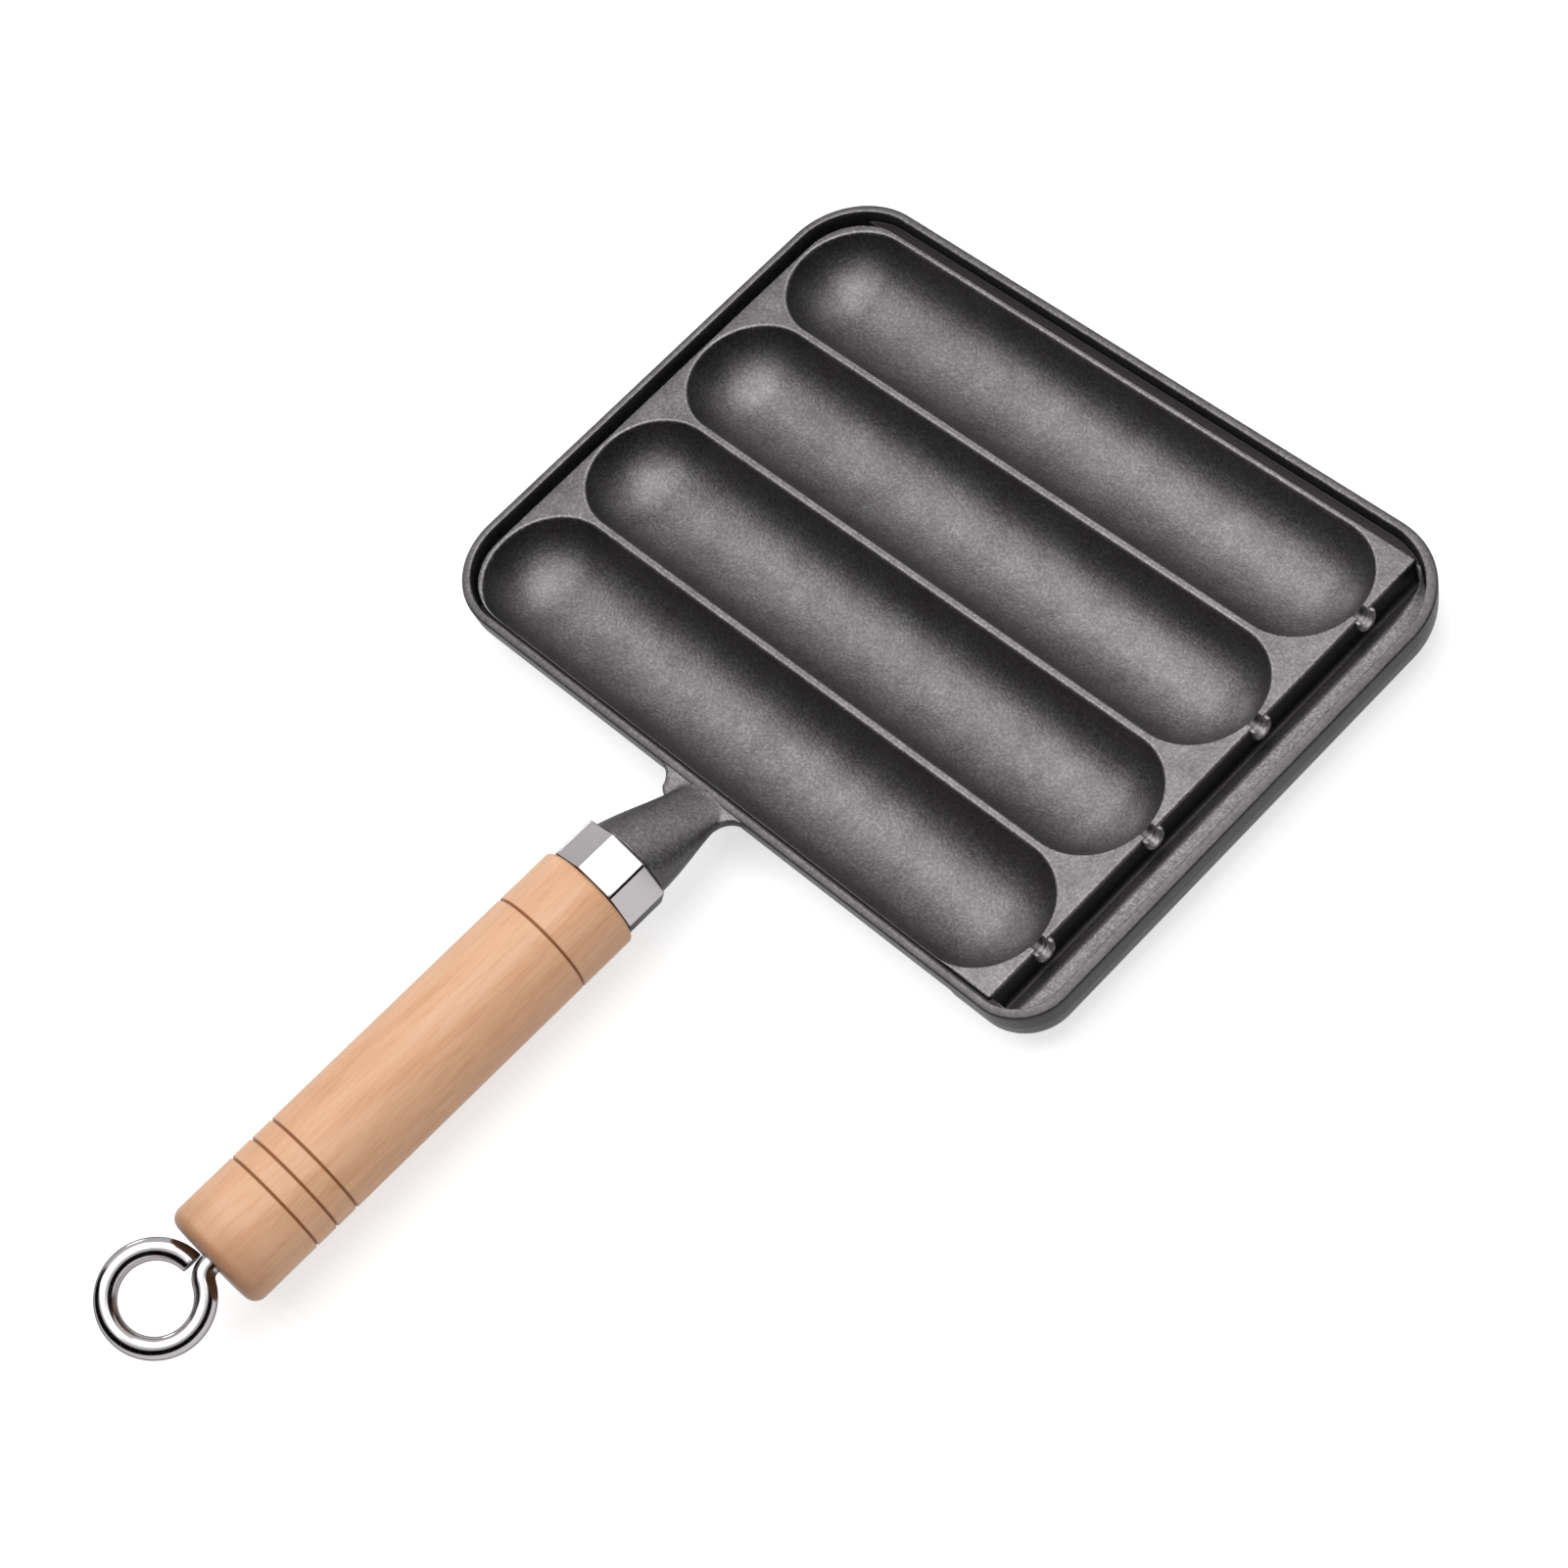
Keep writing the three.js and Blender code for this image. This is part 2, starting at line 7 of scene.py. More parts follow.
# %% Load the frame
import bpy
import bmesh
import numpy as np
from mathutils import Matrix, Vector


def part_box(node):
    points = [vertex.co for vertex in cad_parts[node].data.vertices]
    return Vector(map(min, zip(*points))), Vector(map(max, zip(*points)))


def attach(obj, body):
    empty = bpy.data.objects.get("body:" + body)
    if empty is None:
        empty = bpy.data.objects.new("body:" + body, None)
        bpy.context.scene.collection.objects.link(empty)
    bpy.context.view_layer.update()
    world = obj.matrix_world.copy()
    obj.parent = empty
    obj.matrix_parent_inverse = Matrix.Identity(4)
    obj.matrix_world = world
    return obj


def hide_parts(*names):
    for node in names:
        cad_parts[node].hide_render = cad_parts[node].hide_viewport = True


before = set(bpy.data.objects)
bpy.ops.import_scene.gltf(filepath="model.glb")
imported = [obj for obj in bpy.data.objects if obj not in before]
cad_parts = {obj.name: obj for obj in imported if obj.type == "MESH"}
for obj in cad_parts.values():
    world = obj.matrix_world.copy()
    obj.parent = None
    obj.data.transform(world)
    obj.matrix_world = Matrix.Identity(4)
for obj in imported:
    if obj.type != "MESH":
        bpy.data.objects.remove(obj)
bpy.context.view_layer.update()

MM = 0.001
print("CAD nodes:", sorted(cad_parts))

# %% [markdown]
# ## From arrays to a mesh
# Every surface below is a grid: an array of points with rows and columns. A grid could be made with a Python
# loop over its quads, but whole arrays are much quicker and show the pattern better. The four corners of all
# the quads are four shifted slices of one array of point numbers. Points that meet are welded, which closes
# the seams between grids and the poles where a row shrinks to one point.

# %% Quads of a grid
def quads_of(rows, columns, first, wrap):
    """Corner numbers of a grid's quads: (r, c), (r, c+1), (r+1, c+1), (r+1, c). wrap joins the last column
    to the first one."""
    number = first + np.arange(rows * columns).reshape(rows, columns)
    if wrap:
        number = np.hstack([number, number[:, :1]])
    corners = number[:-1, :-1], number[:-1, 1:], number[1:, 1:], number[1:, :-1]
    return np.stack(corners, axis=-1).reshape(-1, 4)


print("a grid of 3 by 4 points has", len(quads_of(3, 4, 0, False)), "quads")

# %% [markdown]
# ## From a mesh to a piece
# A piece is one object that takes the place of a CAD node. It rides on the node's body, so it moves with it,
# and it gets its own material. One function does this for all four pieces.

# %% Grids to a piece
WELD = 0.002 * MM


def welded_mesh(name, grids):
    """One mesh from several grids in millimetres, each closed round its columns. A grid is (points, flip,
    marks): flip turns its faces over, and marks is a number for each point that a material can read as the
    attribute 'mark'."""
    points, faces, marks, first = [], [], [], 0
    for grid, flip, mark in grids:
        rows, columns = grid.shape[:2]
        quads = quads_of(rows, columns, first, True)
        faces.append(quads[:, ::-1] if flip else quads)
        points.append(grid.reshape(-1, 3))
        marks.append(np.broadcast_to(mark, (rows, columns)).reshape(-1))
        first += rows * columns
    points, faces, marks = np.concatenate(points) * MM, np.concatenate(faces), np.concatenate(marks)
    mesh = bpy.data.meshes.new(name)
    mesh.vertices.add(len(points))
    mesh.vertices.foreach_set("co", points.astype(np.float32).ravel())
    mesh.loops.add(faces.size)
    mesh.loops.foreach_set("vertex_index", faces.astype(np.int32).ravel())
    mesh.polygons.add(len(faces))
    mesh.polygons.foreach_set("loop_start", np.arange(0, faces.size, 4, dtype=np.int32))
    attribute = mesh.attributes.new("mark", "FLOAT", "POINT")
    attribute.data.foreach_set("value", marks.astype(np.float32))
    mesh.update(calc_edges=True)
    welded = bmesh.new()
    welded.from_mesh(mesh)
    bmesh.ops.remove_doubles(welded, verts=welded.verts, dist=WELD)
    bmesh.ops.dissolve_degenerate(welded, edges=welded.edges, dist=WELD / 2)
    welded.to_mesh(mesh)
    welded.free()
    mesh.shade_smooth()
    return mesh


def piece_from_grids(name, grids, material, body, node):
    """Makes the object that replaces a CAD node, on the node's body and with the given material, and hides
    the node.
    """
    mesh = welded_mesh(name, grids)
    mesh.materials.append(material)
    piece = bpy.data.objects.new(name, mesh)
    bpy.context.collection.objects.link(piece)
    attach(piece, body)
    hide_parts(node)
    print(name, len(mesh.polygons), "faces")


print("points closer than", WELD / MM, "mm are welded")

# %% [markdown]
# ## Colour and nodes
# Colours are written as the sRGB hex values that a colour picker shows. Blender's shaders want linear light,
# so one function converts them. A second small function adds a node, sets it and links it in one line.

# %% Helpers for materials
MIX = {"data_type": "RGBA"}
MULTIPLY = {"data_type": "RGBA", "blend_type": "MULTIPLY"}


def linear(hex_colour):
    """sRGB hex to linear RGBA: c / 12.92 below 0.04045, else ((c + 0.055) / 1.055) ** 2.4."""
    srgb = np.array([int(hex_colour[i:i + 2], 16) for i in (1, 3, 5)]) / 255
    rgb = np.where(srgb <= 0.04045, srgb / 12.92, ((srgb + 0.055) / 1.055) ** 2.4)
    return (*rgb.tolist(), 1.0)


def add(tree, kind, settings=None, stops=(), **inputs):
    """Adds a node. settings sets its properties, and stops the (position, colour) pairs of a colour ramp.
    Each input takes a value, or a socket to link from. An input's name is the socket's name with _ for a
    space, or i and its number where names repeat."""
    node = tree.nodes.new(kind)
    for key, value in (settings or {}).items():
        setattr(node, key, value)
    for number, (position, colour) in enumerate(stops):
        elements = node.color_ramp.elements
        element = elements[number] if number < len(elements) else elements.new(position)
        element.position = position
        element.color = linear(colour)
    for key, value in inputs.items():
        numbered = key[0] == "i" and key[1:].isdigit()
        socket = node.inputs[int(key[1:]) if numbered else key.replace("_", " ")]
        if isinstance(value, bpy.types.NodeSocket):
            tree.links.new(value, socket)
        else:
            socket.default_value = value
    return node


def new_material(name):
    """An empty node material and its tree."""
    material = bpy.data.materials.new(name)
    material.use_nodes = True
    material.node_tree.nodes.clear()
    return material, material.node_tree


print("sRGB #808080 in linear light:", np.round(linear("#808080"), 3))

# %% [markdown]
# ## Seasoned cast iron
# Cast iron comes out of sand, so its skin is finely pebbled, with grains of about half a millimetre. They
# are drawn a little coarser here, because finer ones would not show in the picture. Baked-on oil darkens
# the iron to a grey with a broad soft gloss, and deep hollows look black because they mirror only dark iron.
# A rough dark metal does the same. The grain could be painted on, but it shows in the light, so it is a bump
# too. The 'mark' attribute pales and dulls the iron above 0 and darkens it below 0. On edges it is rubbed
# wear with a painted highlight, underneath it is soot, and elsewhere it is painted highlight and painted
# shade.

# %% Cast iron
GRAIN = 0.8 * MM
MOTTLE = 9 * MM
GRAIN_HEIGHT = 0.12 * MM


def cast_iron():
    """Grain and mottle set the grey, then soot and painted shade darken it, and wear and painted highlights
    pale it. Where 'mark' is above 0 the iron is also rougher.
    """
    material, tree = new_material("Seasoned cast iron")
    place = add(tree, "ShaderNodeTexCoord").outputs["Object"]
    grain = add(tree, "ShaderNodeTexNoise", Vector=place, Scale=1 / GRAIN, Detail=2.0, Roughness=0.6)
    grain = grain.outputs["Fac"]
    mottle = add(tree, "ShaderNodeTexNoise", Vector=place, Scale=1 / MOTTLE, Detail=4.0, Roughness=0.6)
    speck = add(tree, "ShaderNodeValToRGB", Fac=grain,
                stops=[(0.3, "#5f5d5e"), (0.5, "#6d6b6c"), (0.72, "#838182")])
    tone = add(tree, "ShaderNodeValToRGB", Fac=mottle.outputs["Fac"],
               stops=[(0.3, "#dedbdb"), (0.7, "#ffffff")])
    grey = add(tree, "ShaderNodeMix", MULTIPLY, i0=1.0, i6=speck.outputs[0], i7=tone.outputs[0])
    mark = add(tree, "ShaderNodeAttribute", {"attribute_name": "mark"}).outputs["Fac"]
    # Painted shade, and soot under the pan: a 'mark' below 0 darkens the grey.
    soot_and_shade = add(tree, "ShaderNodeMath", {"operation": "MULTIPLY"}, i0=mark, i1=-1.0)
    darkened = add(tree, "ShaderNodeMix", MIX, i0=soot_and_shade.outputs[0], i6=grey.outputs[2], i7=linear("#2c2a2b"))
    # Painted highlight, and rubbed wear on edges: a 'mark' above 0 pales the iron.
    pale_iron = add(tree, "ShaderNodeValToRGB", Fac=grain,
               stops=[(0.3, "#8f8c8d"), (0.5, "#b4b1b2"), (0.72, "#dcd9da")])
    wear_and_highlight = add(tree, "ShaderNodeMix", MIX, i0=mark, i6=darkened.outputs[2], i7=pale_iron.outputs[0])
    gloss = add(tree, "ShaderNodeMapRange", Value=grain, i1=0.2, i2=0.8, i3=0.42, i4=0.54)
    rough = add(tree, "ShaderNodeMix", i0=mark, i2=gloss.outputs["Result"], i3=0.78)
    bump = add(tree, "ShaderNodeBump", Strength=0.7, Distance=GRAIN_HEIGHT, Height=grain)
    skin = add(tree, "ShaderNodeBsdfPrincipled", Base_Color=wear_and_highlight.outputs[2], Roughness=rough.outputs[0],
               Normal=bump.outputs["Normal"], Metallic=0.96)
    add(tree, "ShaderNodeOutputMaterial", Surface=skin.outputs["BSDF"])
    return material


iron = cast_iron()
print("made", iron.name)

# %% [markdown]
# ## Sizes of the casting
# These are the sizes of the real pan in millimetres. x runs along the troughs to the gutter, y runs away
# from the handle, and z = 0 is the plane that the pan stands on. The middle of the pan's outline is
# x = y = 0 while the shapes are worked out, and the frame gives the shift to the place of the CAD node.

# %% Casting sizes
TROUGH_AXES = np.array([-61.0, -21.5, 18.0, 57.5])
PITCH = TROUGH_AXES[1] - TROUGH_AXES[0]
SPINE_START, SPINE_END = -88.6, 76.8
ARC_RADIUS, ARC_CENTRE = 19.84, 23.41
LIP_RADIUS = 0.8
PLATEAU_TOP, RIM_TOP = 17.07, 19.57
CHANNEL_FLOOR, GUTTER_FLOOR, PLATE_BOTTOM = 15.87, 8.07, 13.07
HALF_LENGTH, HALF_WIDTH = 113.5, 83.4
# A rounded rectangle is (x0, x1, y0, y1, radius at x0, near radius at x1, far radius at x1).
PAN = (-HALF_LENGTH, HALF_LENGTH, -HALF_WIDTH, HALF_WIDTH, 23.0, 15.0, 25.0)
POCKET = (-111.1, 110.3, -81.0, 81.0, 20.6, 12.6, 22.6)
PLATEAU = (-108.9, 97.3, -79.5, 77.8, 17.5, 0.5, 0.5)
shift = np.array([0.0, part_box("pan_casting")[1][1] / MM - HALF_WIDTH, 0.0])
print("shift to the row frame, mm:", shift.round(3))

# %% [markdown]
# ## Rays across a rounded outline
# The rim, the channel and the edge of the plateau are all rounded rectangles inside each other, with
# different corners. If each were sampled by itself, the columns of the grid would twist. So one set of rays
# is drawn outwards in plan, and every outline is cut by the same rays.

# %% Rays
LEVEL = 1e-12
LEAST_CORNER = 0.02


def reach(origin, heading, outline, inset):
    """Length of each ray to a rounded rectangle drawn in by inset. The ray runs to the nearer side that it
    faces, t = (side - o) / d. Where that hit lies past a corner's centre both ways it stops on the corner's
    circle, t = -b + sqrt(b b - c), with b = (o - c) . d and c = |o - c|^2 - r^2."""
    x0, x1, y0, y1, r_start, r_near, r_far = outline
    low, high = np.array([x0, y0]) + inset, np.array([x1, y1]) - inset
    level = np.abs(heading) < LEVEL
    side = np.where(heading > 0, high - origin, low - origin) / np.where(level, 1.0, heading)
    t = np.where(level, np.inf, side).min(axis=-1)
    for sign, radius in (((1, 1), r_far), ((-1, 1), r_start), ((-1, -1), r_start), ((1, -1), r_near)):
        sign, r = np.array(sign), max(radius - inset, LEAST_CORNER)
        centre = np.where(sign > 0, high, low) - sign * r
        off = origin - centre
        b, c = (off * heading).sum(-1), (off * off).sum(-1) - r * r
        past = ((origin + t[..., None] * heading - centre) * sign > 0).all(-1)
        t = np.where(past, -b + np.sqrt(np.maximum(b * b - c, 0)), t)
    return np.maximum(t, 0)


def fan(x, y, first, last, count):
    """count rays from one point, turning from the first to the last angle in degrees."""
    a = np.radians(np.linspace(first, last, count))
    return np.tile([x, y], (count, 1)), np.stack([np.cos(a), np.sin(a)], axis=-1)


def comb(xs, ys, angle):
    """Parallel rays from points with the given x and y."""
    origin = np.stack(np.broadcast_arrays(xs, ys), axis=-1).astype(float)
    a = np.radians(angle)
    return origin, np.tile([np.cos(a), np.sin(a)], (len(origin), 1)).round(12)


print("from the middle to the pan's edge, mm:", reach(*fan(0, 0, 0, 90, 4), PAN, 0.0).round(1))

# %% [markdown]
# ## Heights of the casting
# The upper side and the underside of the pan are both heights over the plan, so a few formulas describe
# them. A trough is a circular arc that depends only on the distance w from its spine, and a small circle
# rounds it into the plateau. The smooth minimum joins the bulges underneath as a fillet in the sand mould
# does.

# %% Height formulas
LIP_END = np.sqrt((ARC_RADIUS + LIP_RADIUS) ** 2 - (ARC_CENTRE - PLATEAU_TOP + LIP_RADIUS) ** 2)
LIP_START = LIP_END * ARC_RADIUS / (ARC_RADIUS + LIP_RADIUS)
NOTCH_RADIUS, NOTCH_DEPTH = 2.0, 4.5


def spine_distance(x, y, axis):
    """Distance from the line between the two ends of a trough's spine."""
    return np.hypot(x - np.clip(x, SPINE_START, SPINE_END), y - axis)


def trough_height(w):
    """Arc: centre - sqrt(R^2 - w^2). Lip: top - r + sqrt(r^2 - (end - w)^2). Beyond it: the plateau."""
    arc = ARC_CENTRE - np.sqrt(np.maximum(ARC_RADIUS ** 2 - w ** 2, 0))
    lip = PLATEAU_TOP - LIP_RADIUS + np.sqrt(np.maximum(LIP_RADIUS ** 2 - (LIP_END - w) ** 2, 0))
    return np.where(w < LIP_START, arc, np.where(w < LIP_END, lip, PLATEAU_TOP))


def notch_height(x, y, axis):
    """Floor of the drain notch: a half circle across y, and no limit outside it or before the trough's
    end."""
    d = y - axis
    half_circle = np.sqrt(np.maximum(NOTCH_RADIUS ** 2 - d * d, 0))
    floor = PLATEAU_TOP - NOTCH_DEPTH + NOTCH_RADIUS - half_circle
    return np.where((np.abs(d) < NOTCH_RADIUS) & (x > SPINE_END), floor, np.inf)


def smooth_min(a, b, k):
    """Minimum with a fillet: min(a, b) - h^2 / (4 k), with h = max(k - |a - b|, 0)."""
    h = np.maximum(k - np.abs(a - b), 0)
    return np.minimum(a, b) - h * h / (4 * k)


def smooth_step(x):
    """0 below 0, 1 above 1, and x^2 (3 - 2 x) between them."""
    return np.clip(x, 0, 1) ** 2 * (3 - 2 * np.clip(x, 0, 1))


print("lip from %.2f to %.2f mm from the spine" % (LIP_START, LIP_END))

# %% [markdown]
# ## One outline for both sides of a seam
# The troughs and the border round them meet along the edge of the plateau. A seam closes only if both sides
# have the same points, so the rays of the border are laid out first and the troughs take their outer points
# from them. The gutter's ends and the drain notches get more rays, because the floor changes quickly there.

# %% Places of the rays
PLATEAU_LIP = 0.7
NEAR, FAR = PLATEAU[2] + PLATEAU_LIP, PLATEAU[3] - PLATEAU_LIP
START, END = PLATEAU[0] + PLATEAU_LIP, PLATEAU[1] - PLATEAU_LIP
RIDGES = (TROUGH_AXES[:-1] + TROUGH_AXES[1:]) / 2
CELL_LOW, CELL_HIGH = np.append(NEAR, RIDGES), np.append(RIDGES, FAR)
NOTCH_SIDE = np.array([0.0, 0.5, 1.0, 1.5, 1.8, 1.94, 1.995, 2.03, 2.25, 2.6])
NOTCH_COLUMNS = np.concatenate([-NOTCH_SIDE[:0:-1], NOTCH_SIDE])
NOTCH_CLEAR = 3.0
STEEP_END, DENSE_END = 2.4, 12.0
SIDE_X = np.concatenate([np.linspace(END, SPINE_END, 15)[1:], np.linspace(SPINE_END, SPINE_START, 30)[1:]])
RIDGE_X = np.concatenate([[END], SIDE_X, np.linspace(SPINE_START, START, 17)[1:]])
print("ridges between the troughs at y =", RIDGES)

# %% [markdown]
# ### The rays
# A comb of parallel rays crosses each straight side, and a fan turns round each corner. Together they go
# once round the pan.

# %% Border rays
def gutter_side():
    """Where rays cross to the gutter: dense at its ends, even beside the notches, and the notches' own."""
    ends = np.concatenate([np.arange(0, STEEP_END, 0.12), np.arange(STEEP_END, DENSE_END, 0.8)])
    beside = np.concatenate([np.linspace(CELL_LOW, TROUGH_AXES - NOTCH_CLEAR, 14).ravel(),
                             np.linspace(TROUGH_AXES + NOTCH_CLEAR, CELL_HIGH, 14).ravel()])
    beside = beside[(beside > NEAR + DENSE_END) & (beside < FAR - DENSE_END)]
    notches = (TROUGH_AXES[:, None] + NOTCH_COLUMNS).ravel()
    return np.unique(np.concatenate([NEAR + ends, FAR - ends, beside, notches]).round(4))


def border_rays():
    """One closed set of rays round the plateau, anticlockwise from the near end of the gutter."""
    r = PLATEAU[4]
    left, top, low = PLATEAU[0] + r, PLATEAU[3] - r, PLATEAU[2] + r
    left_y = np.linspace(np.append(low, RIDGES), np.append(RIDGES, top), 17).ravel()
    left_y = np.unique(left_y.round(4))[1:-1]
    rays = [comb(END, gutter_side(), 0), fan(END, FAR, 0, 90, 26),
            comb(SIDE_X, top, 90), fan(left, top, 90, 180, 30),
            comb(left, left_y[::-1], 180), fan(left, low, 180, 270, 30),
            comb(SIDE_X[::-1], low, 270), fan(END, NEAR, 270, 360, 26)]
    return np.concatenate([o for o, _ in rays]), np.concatenate([d for _, d in rays])


ray_origin, ray_heading = border_rays()
in_gutter = (ray_heading[:, 0] == 1) & (ray_origin[:, 0] == END)


def cut_rays(outline, inset):
    """Where the border's rays meet an outline that is drawn in by inset: origin + length heading."""
    return ray_origin + reach(ray_origin, ray_heading, outline, inset)[:, None] * ray_heading


plateau_edge = cut_rays(PLATEAU, PLATEAU_LIP)
print("border rays:", len(ray_origin), "of them into the gutter:", in_gutter.sum())

# %% [markdown]
# ## The four troughs
# On the real pan a trough is half a sausage pressed into the iron. It could be cut out with a Boolean, but
# that leaves long thin faces along the edge. Here each trough's grid starts at the spine and runs outwards
# to the middle of the ridge or to the edge of the plateau, so its rows follow the lip exactly. Near the
# drain notch the rays run side by side along x, because the notch has straight sides.

# %% Trough rays
SAME = 1e-6


def trough_rays(cell):
    """Rays from a trough's spine to every point on its cell's edge except those of the notch, anticlockwise
    as seen from the middle of the spine: where each one starts, its direction and its length."""
    axis, low, high = TROUGH_AXES[cell], CELL_LOW[cell], CELL_HIGH[cell]
    x, y = plateau_edge.T
    notch = (x > END - SAME) & (np.abs(y - axis) <= NOTCH_SIDE[-1] + SAME)
    edge = plateau_edge[(y > low - SAME) & (y < high + SAME) & ~notch]
    ridge_y = RIDGES[(RIDGES == low) | (RIDGES == high)]
    ridge = np.stack(np.meshgrid(RIDGE_X, ridge_y), axis=-1).reshape(-1, 2)
    target = np.unique(np.concatenate([edge, ridge]).round(5), axis=0)
    middle = (SPINE_START + SPINE_END) / 2
    turn = np.arctan2(target[:, 1] - axis, target[:, 0] - middle) % (2 * np.pi)
    target = target[np.argsort(turn)]
    origin = np.stack([np.clip(target[:, 0], SPINE_START, SPINE_END), np.full(len(target), axis)], axis=-1)
    length = np.linalg.norm(target - origin, axis=1)
    return origin, (target - origin) / length[:, None], length


print("rays of the four troughs:", [len(trough_rays(cell)[0]) for cell in range(len(TROUGH_AXES))])

# %% [markdown]
# ### The grid of a trough
# The rows are rings at growing distances from the spine: the arc, the rounded lip and a narrow flat. The
# lip is a little rubbed and carries a painted highlight, and the steep sides under it carry painted shade.

# %% Trough grids
PARALLEL_FROM = 17.6
FLAT_ROWS = np.array([0.15, 0.3])
# The lip's paler band is rubbed wear and a painted highlight, and the steep sides get painted shade.
TROUGH_LIP_WEAR_AND_HIGHLIGHT, SIDE_PAINTED_SHADE = 0.3, 0.5
SIDE_SHADE_FROM, SIDE_SHADE_OVER = 0.5, 0.45
LIP_BAND_MIDDLE, LIP_BAND_HALF = 0.35, 0.5


def trough_rings():
    """Distances of the rows: R sin t along the arc, then end - r sin t round the lip, then the flat."""
    arc = ARC_RADIUS * np.sin(np.linspace(0, 1, 30) * np.arcsin(LIP_START / ARC_RADIUS))
    t = np.linspace(np.arcsin((LIP_END - LIP_START) / LIP_RADIUS), 0, 8)[1:]
    return np.concatenate([arc, LIP_END - LIP_RADIUS * np.sin(t), LIP_END + FLAT_ROWS])[:, None]


def notch_plan(axis, rings):
    """Columns of the notch: they spread from the spine's end and run parallel from PARALLEL_FROM on."""
    across = NOTCH_COLUMNS * np.minimum(rings / PARALLEL_FROM, 1)
    edge = END - SPINE_END
    along = np.minimum(np.sqrt(np.maximum(rings * rings - across ** 2, 0)), edge)
    last = np.stack([np.full(len(NOTCH_COLUMNS), edge), NOTCH_COLUMNS], axis=-1)
    return np.concatenate([np.stack([along, across], axis=-1), last[None]]) + [SPINE_END, axis]


def trough_grid(cell):
    """Points at the rings' distances w from the spine, clipped at the cell's edge, with z from
    trough_height and notch_height, and the mark at each point: rubbed wear and a painted highlight on the
    lip, and painted shade on the steep sides."""
    axis = TROUGH_AXES[cell]
    origin, heading, edge = trough_rays(cell)
    rings = trough_rings()
    w = np.concatenate([np.minimum(rings, edge), edge[None]])
    plan = np.concatenate([notch_plan(axis, rings), origin + w[..., None] * heading], axis=1)
    x, y = plan[..., 0], plan[..., 1]
    away = spine_distance(x, y, axis)
    z = np.minimum(trough_height(away), notch_height(x, y, axis))
    wear_and_highlight = np.clip(1 - np.abs(away - LIP_END + LIP_BAND_MIDDLE) / LIP_BAND_HALF, 0, 1)
    darkened = smooth_step((away / LIP_START - SIDE_SHADE_FROM) / SIDE_SHADE_OVER) * (away < LIP_START)
    return np.stack([x, y, z], axis=-1), TROUGH_LIP_WEAR_AND_HIGHLIGHT * wear_and_highlight - SIDE_PAINTED_SHADE * darkened


troughs = [trough_grid(cell) for cell in range(len(TROUGH_AXES))]
print("trough grids:", [grid.shape for grid, _ in troughs])

# %% [markdown]
# ## Channel and gutter
# Round the plateau runs a narrow channel, and outside it the rim. At one end the channel widens into a deep
# gutter that catches the fat. All of this is one profile carried round the pan: down the plateau's wall,
# across the floor, up the rim and down the outside. Only the height of the floor changes on the way.

# %% Floor of the channel
GUTTER_NEAR, GUTTER_FAR = -78.7, 77.0
GUTTER_FLAT = 0.23
END_DRAFT = 1.5
CHANNEL_FILLET, GUTTER_FILLET = 0.45, 1.2


def fillet(distance, radius):
    """Height of a quarter circle in a corner: r - sqrt(r^2 - (r - d)^2), and 0 from r on."""
    left = np.clip(radius - distance, 0, radius)
    return radius - np.sqrt(np.maximum(radius ** 2 - left ** 2, 0))


def floor_height(x, y, across, width, room):
    """Channel floor with a fillet at both walls; across is the distance from the inner one. In the gutter, a
    wall of END_DRAFT at each end, a fillet under the plateau, a flat strip, and then an ellipse up to the
    rim, which stands in by room at a corner."""
    small = np.minimum(CHANNEL_FILLET, width / 2)
    channel = CHANNEL_FLOOR + fillet(across, small) + fillet(width - across, small)
    from_wall = x - PLATEAU[1]
    a = from_wall / np.maximum(POCKET[1] - PLATEAU[1] - room, SAME)
    bow = np.clip((a - GUTTER_FLAT) / (1 - GUTTER_FLAT), 0, 1)
    deep = PLATEAU_TOP - (PLATEAU_TOP - GUTTER_FLOOR) * np.sqrt(1 - bow ** 2)
    deep = deep + fillet(from_wall, GUTTER_FILLET)
    into = np.clip(np.minimum(y - GUTTER_NEAR, GUTTER_FAR - y) / END_DRAFT, 0, 1)
    end_wall = CHANNEL_FLOOR - (CHANNEL_FLOOR - GUTTER_FLOOR) * smooth_step(into)
    gutter = np.minimum(np.maximum(deep, end_wall), np.where(in_gutter, deep, channel))
    return np.where(into > 0, gutter, channel)


print("the gutter is %.1f mm deep" % (PLATEAU_TOP - GUTTER_FLOOR))

# %% [markdown]
# ## The underside
# The photograph doesn't show it. A thin casting follows its own troughs, so the underside bulges under each
# of them, stands on four flat lands, and drops as a skirt under the gutter.

# %% Underside formula
BULGE_RADIUS, LAND_HALF = 23.84, 4.5
SKIRT = (85.3, HALF_LENGTH, -HALF_WIDTH, HALF_WIDTH, 0.3, 15.0, 25.0)
SKIRT_TOP, SKIRT_DROP, SKIRT_ROUND, SKIRT_EDGE = 12.67, 8.6, 9.0, 0.6
EDGE_DRAFT, EDGE_ROUND = 0.4, 0.6
BULGE_BLEND, SKIRT_BLEND = 1.2, 0.8


def inside(x, y, outline):
    """Distance inside a rounded rectangle: r - |max(q, 0)| - min(max(qx, qy), 0), with q the offset from the
    corner's circle centre."""
    x0, x1, y0, y1, r_start, r_near, r_far = outline
    mx, my = (x0 + x1) / 2, (y0 + y1) / 2
    r = np.where(x < mx, r_start, np.where(y < my, r_near, r_far))
    qx, qy = np.abs(x - mx) - (x1 - x0) / 2 + r, np.abs(y - my) - (y1 - y0) / 2 + r
    return r - np.hypot(np.maximum(qx, 0), np.maximum(qy, 0)) - np.minimum(np.maximum(qx, qy), 0)


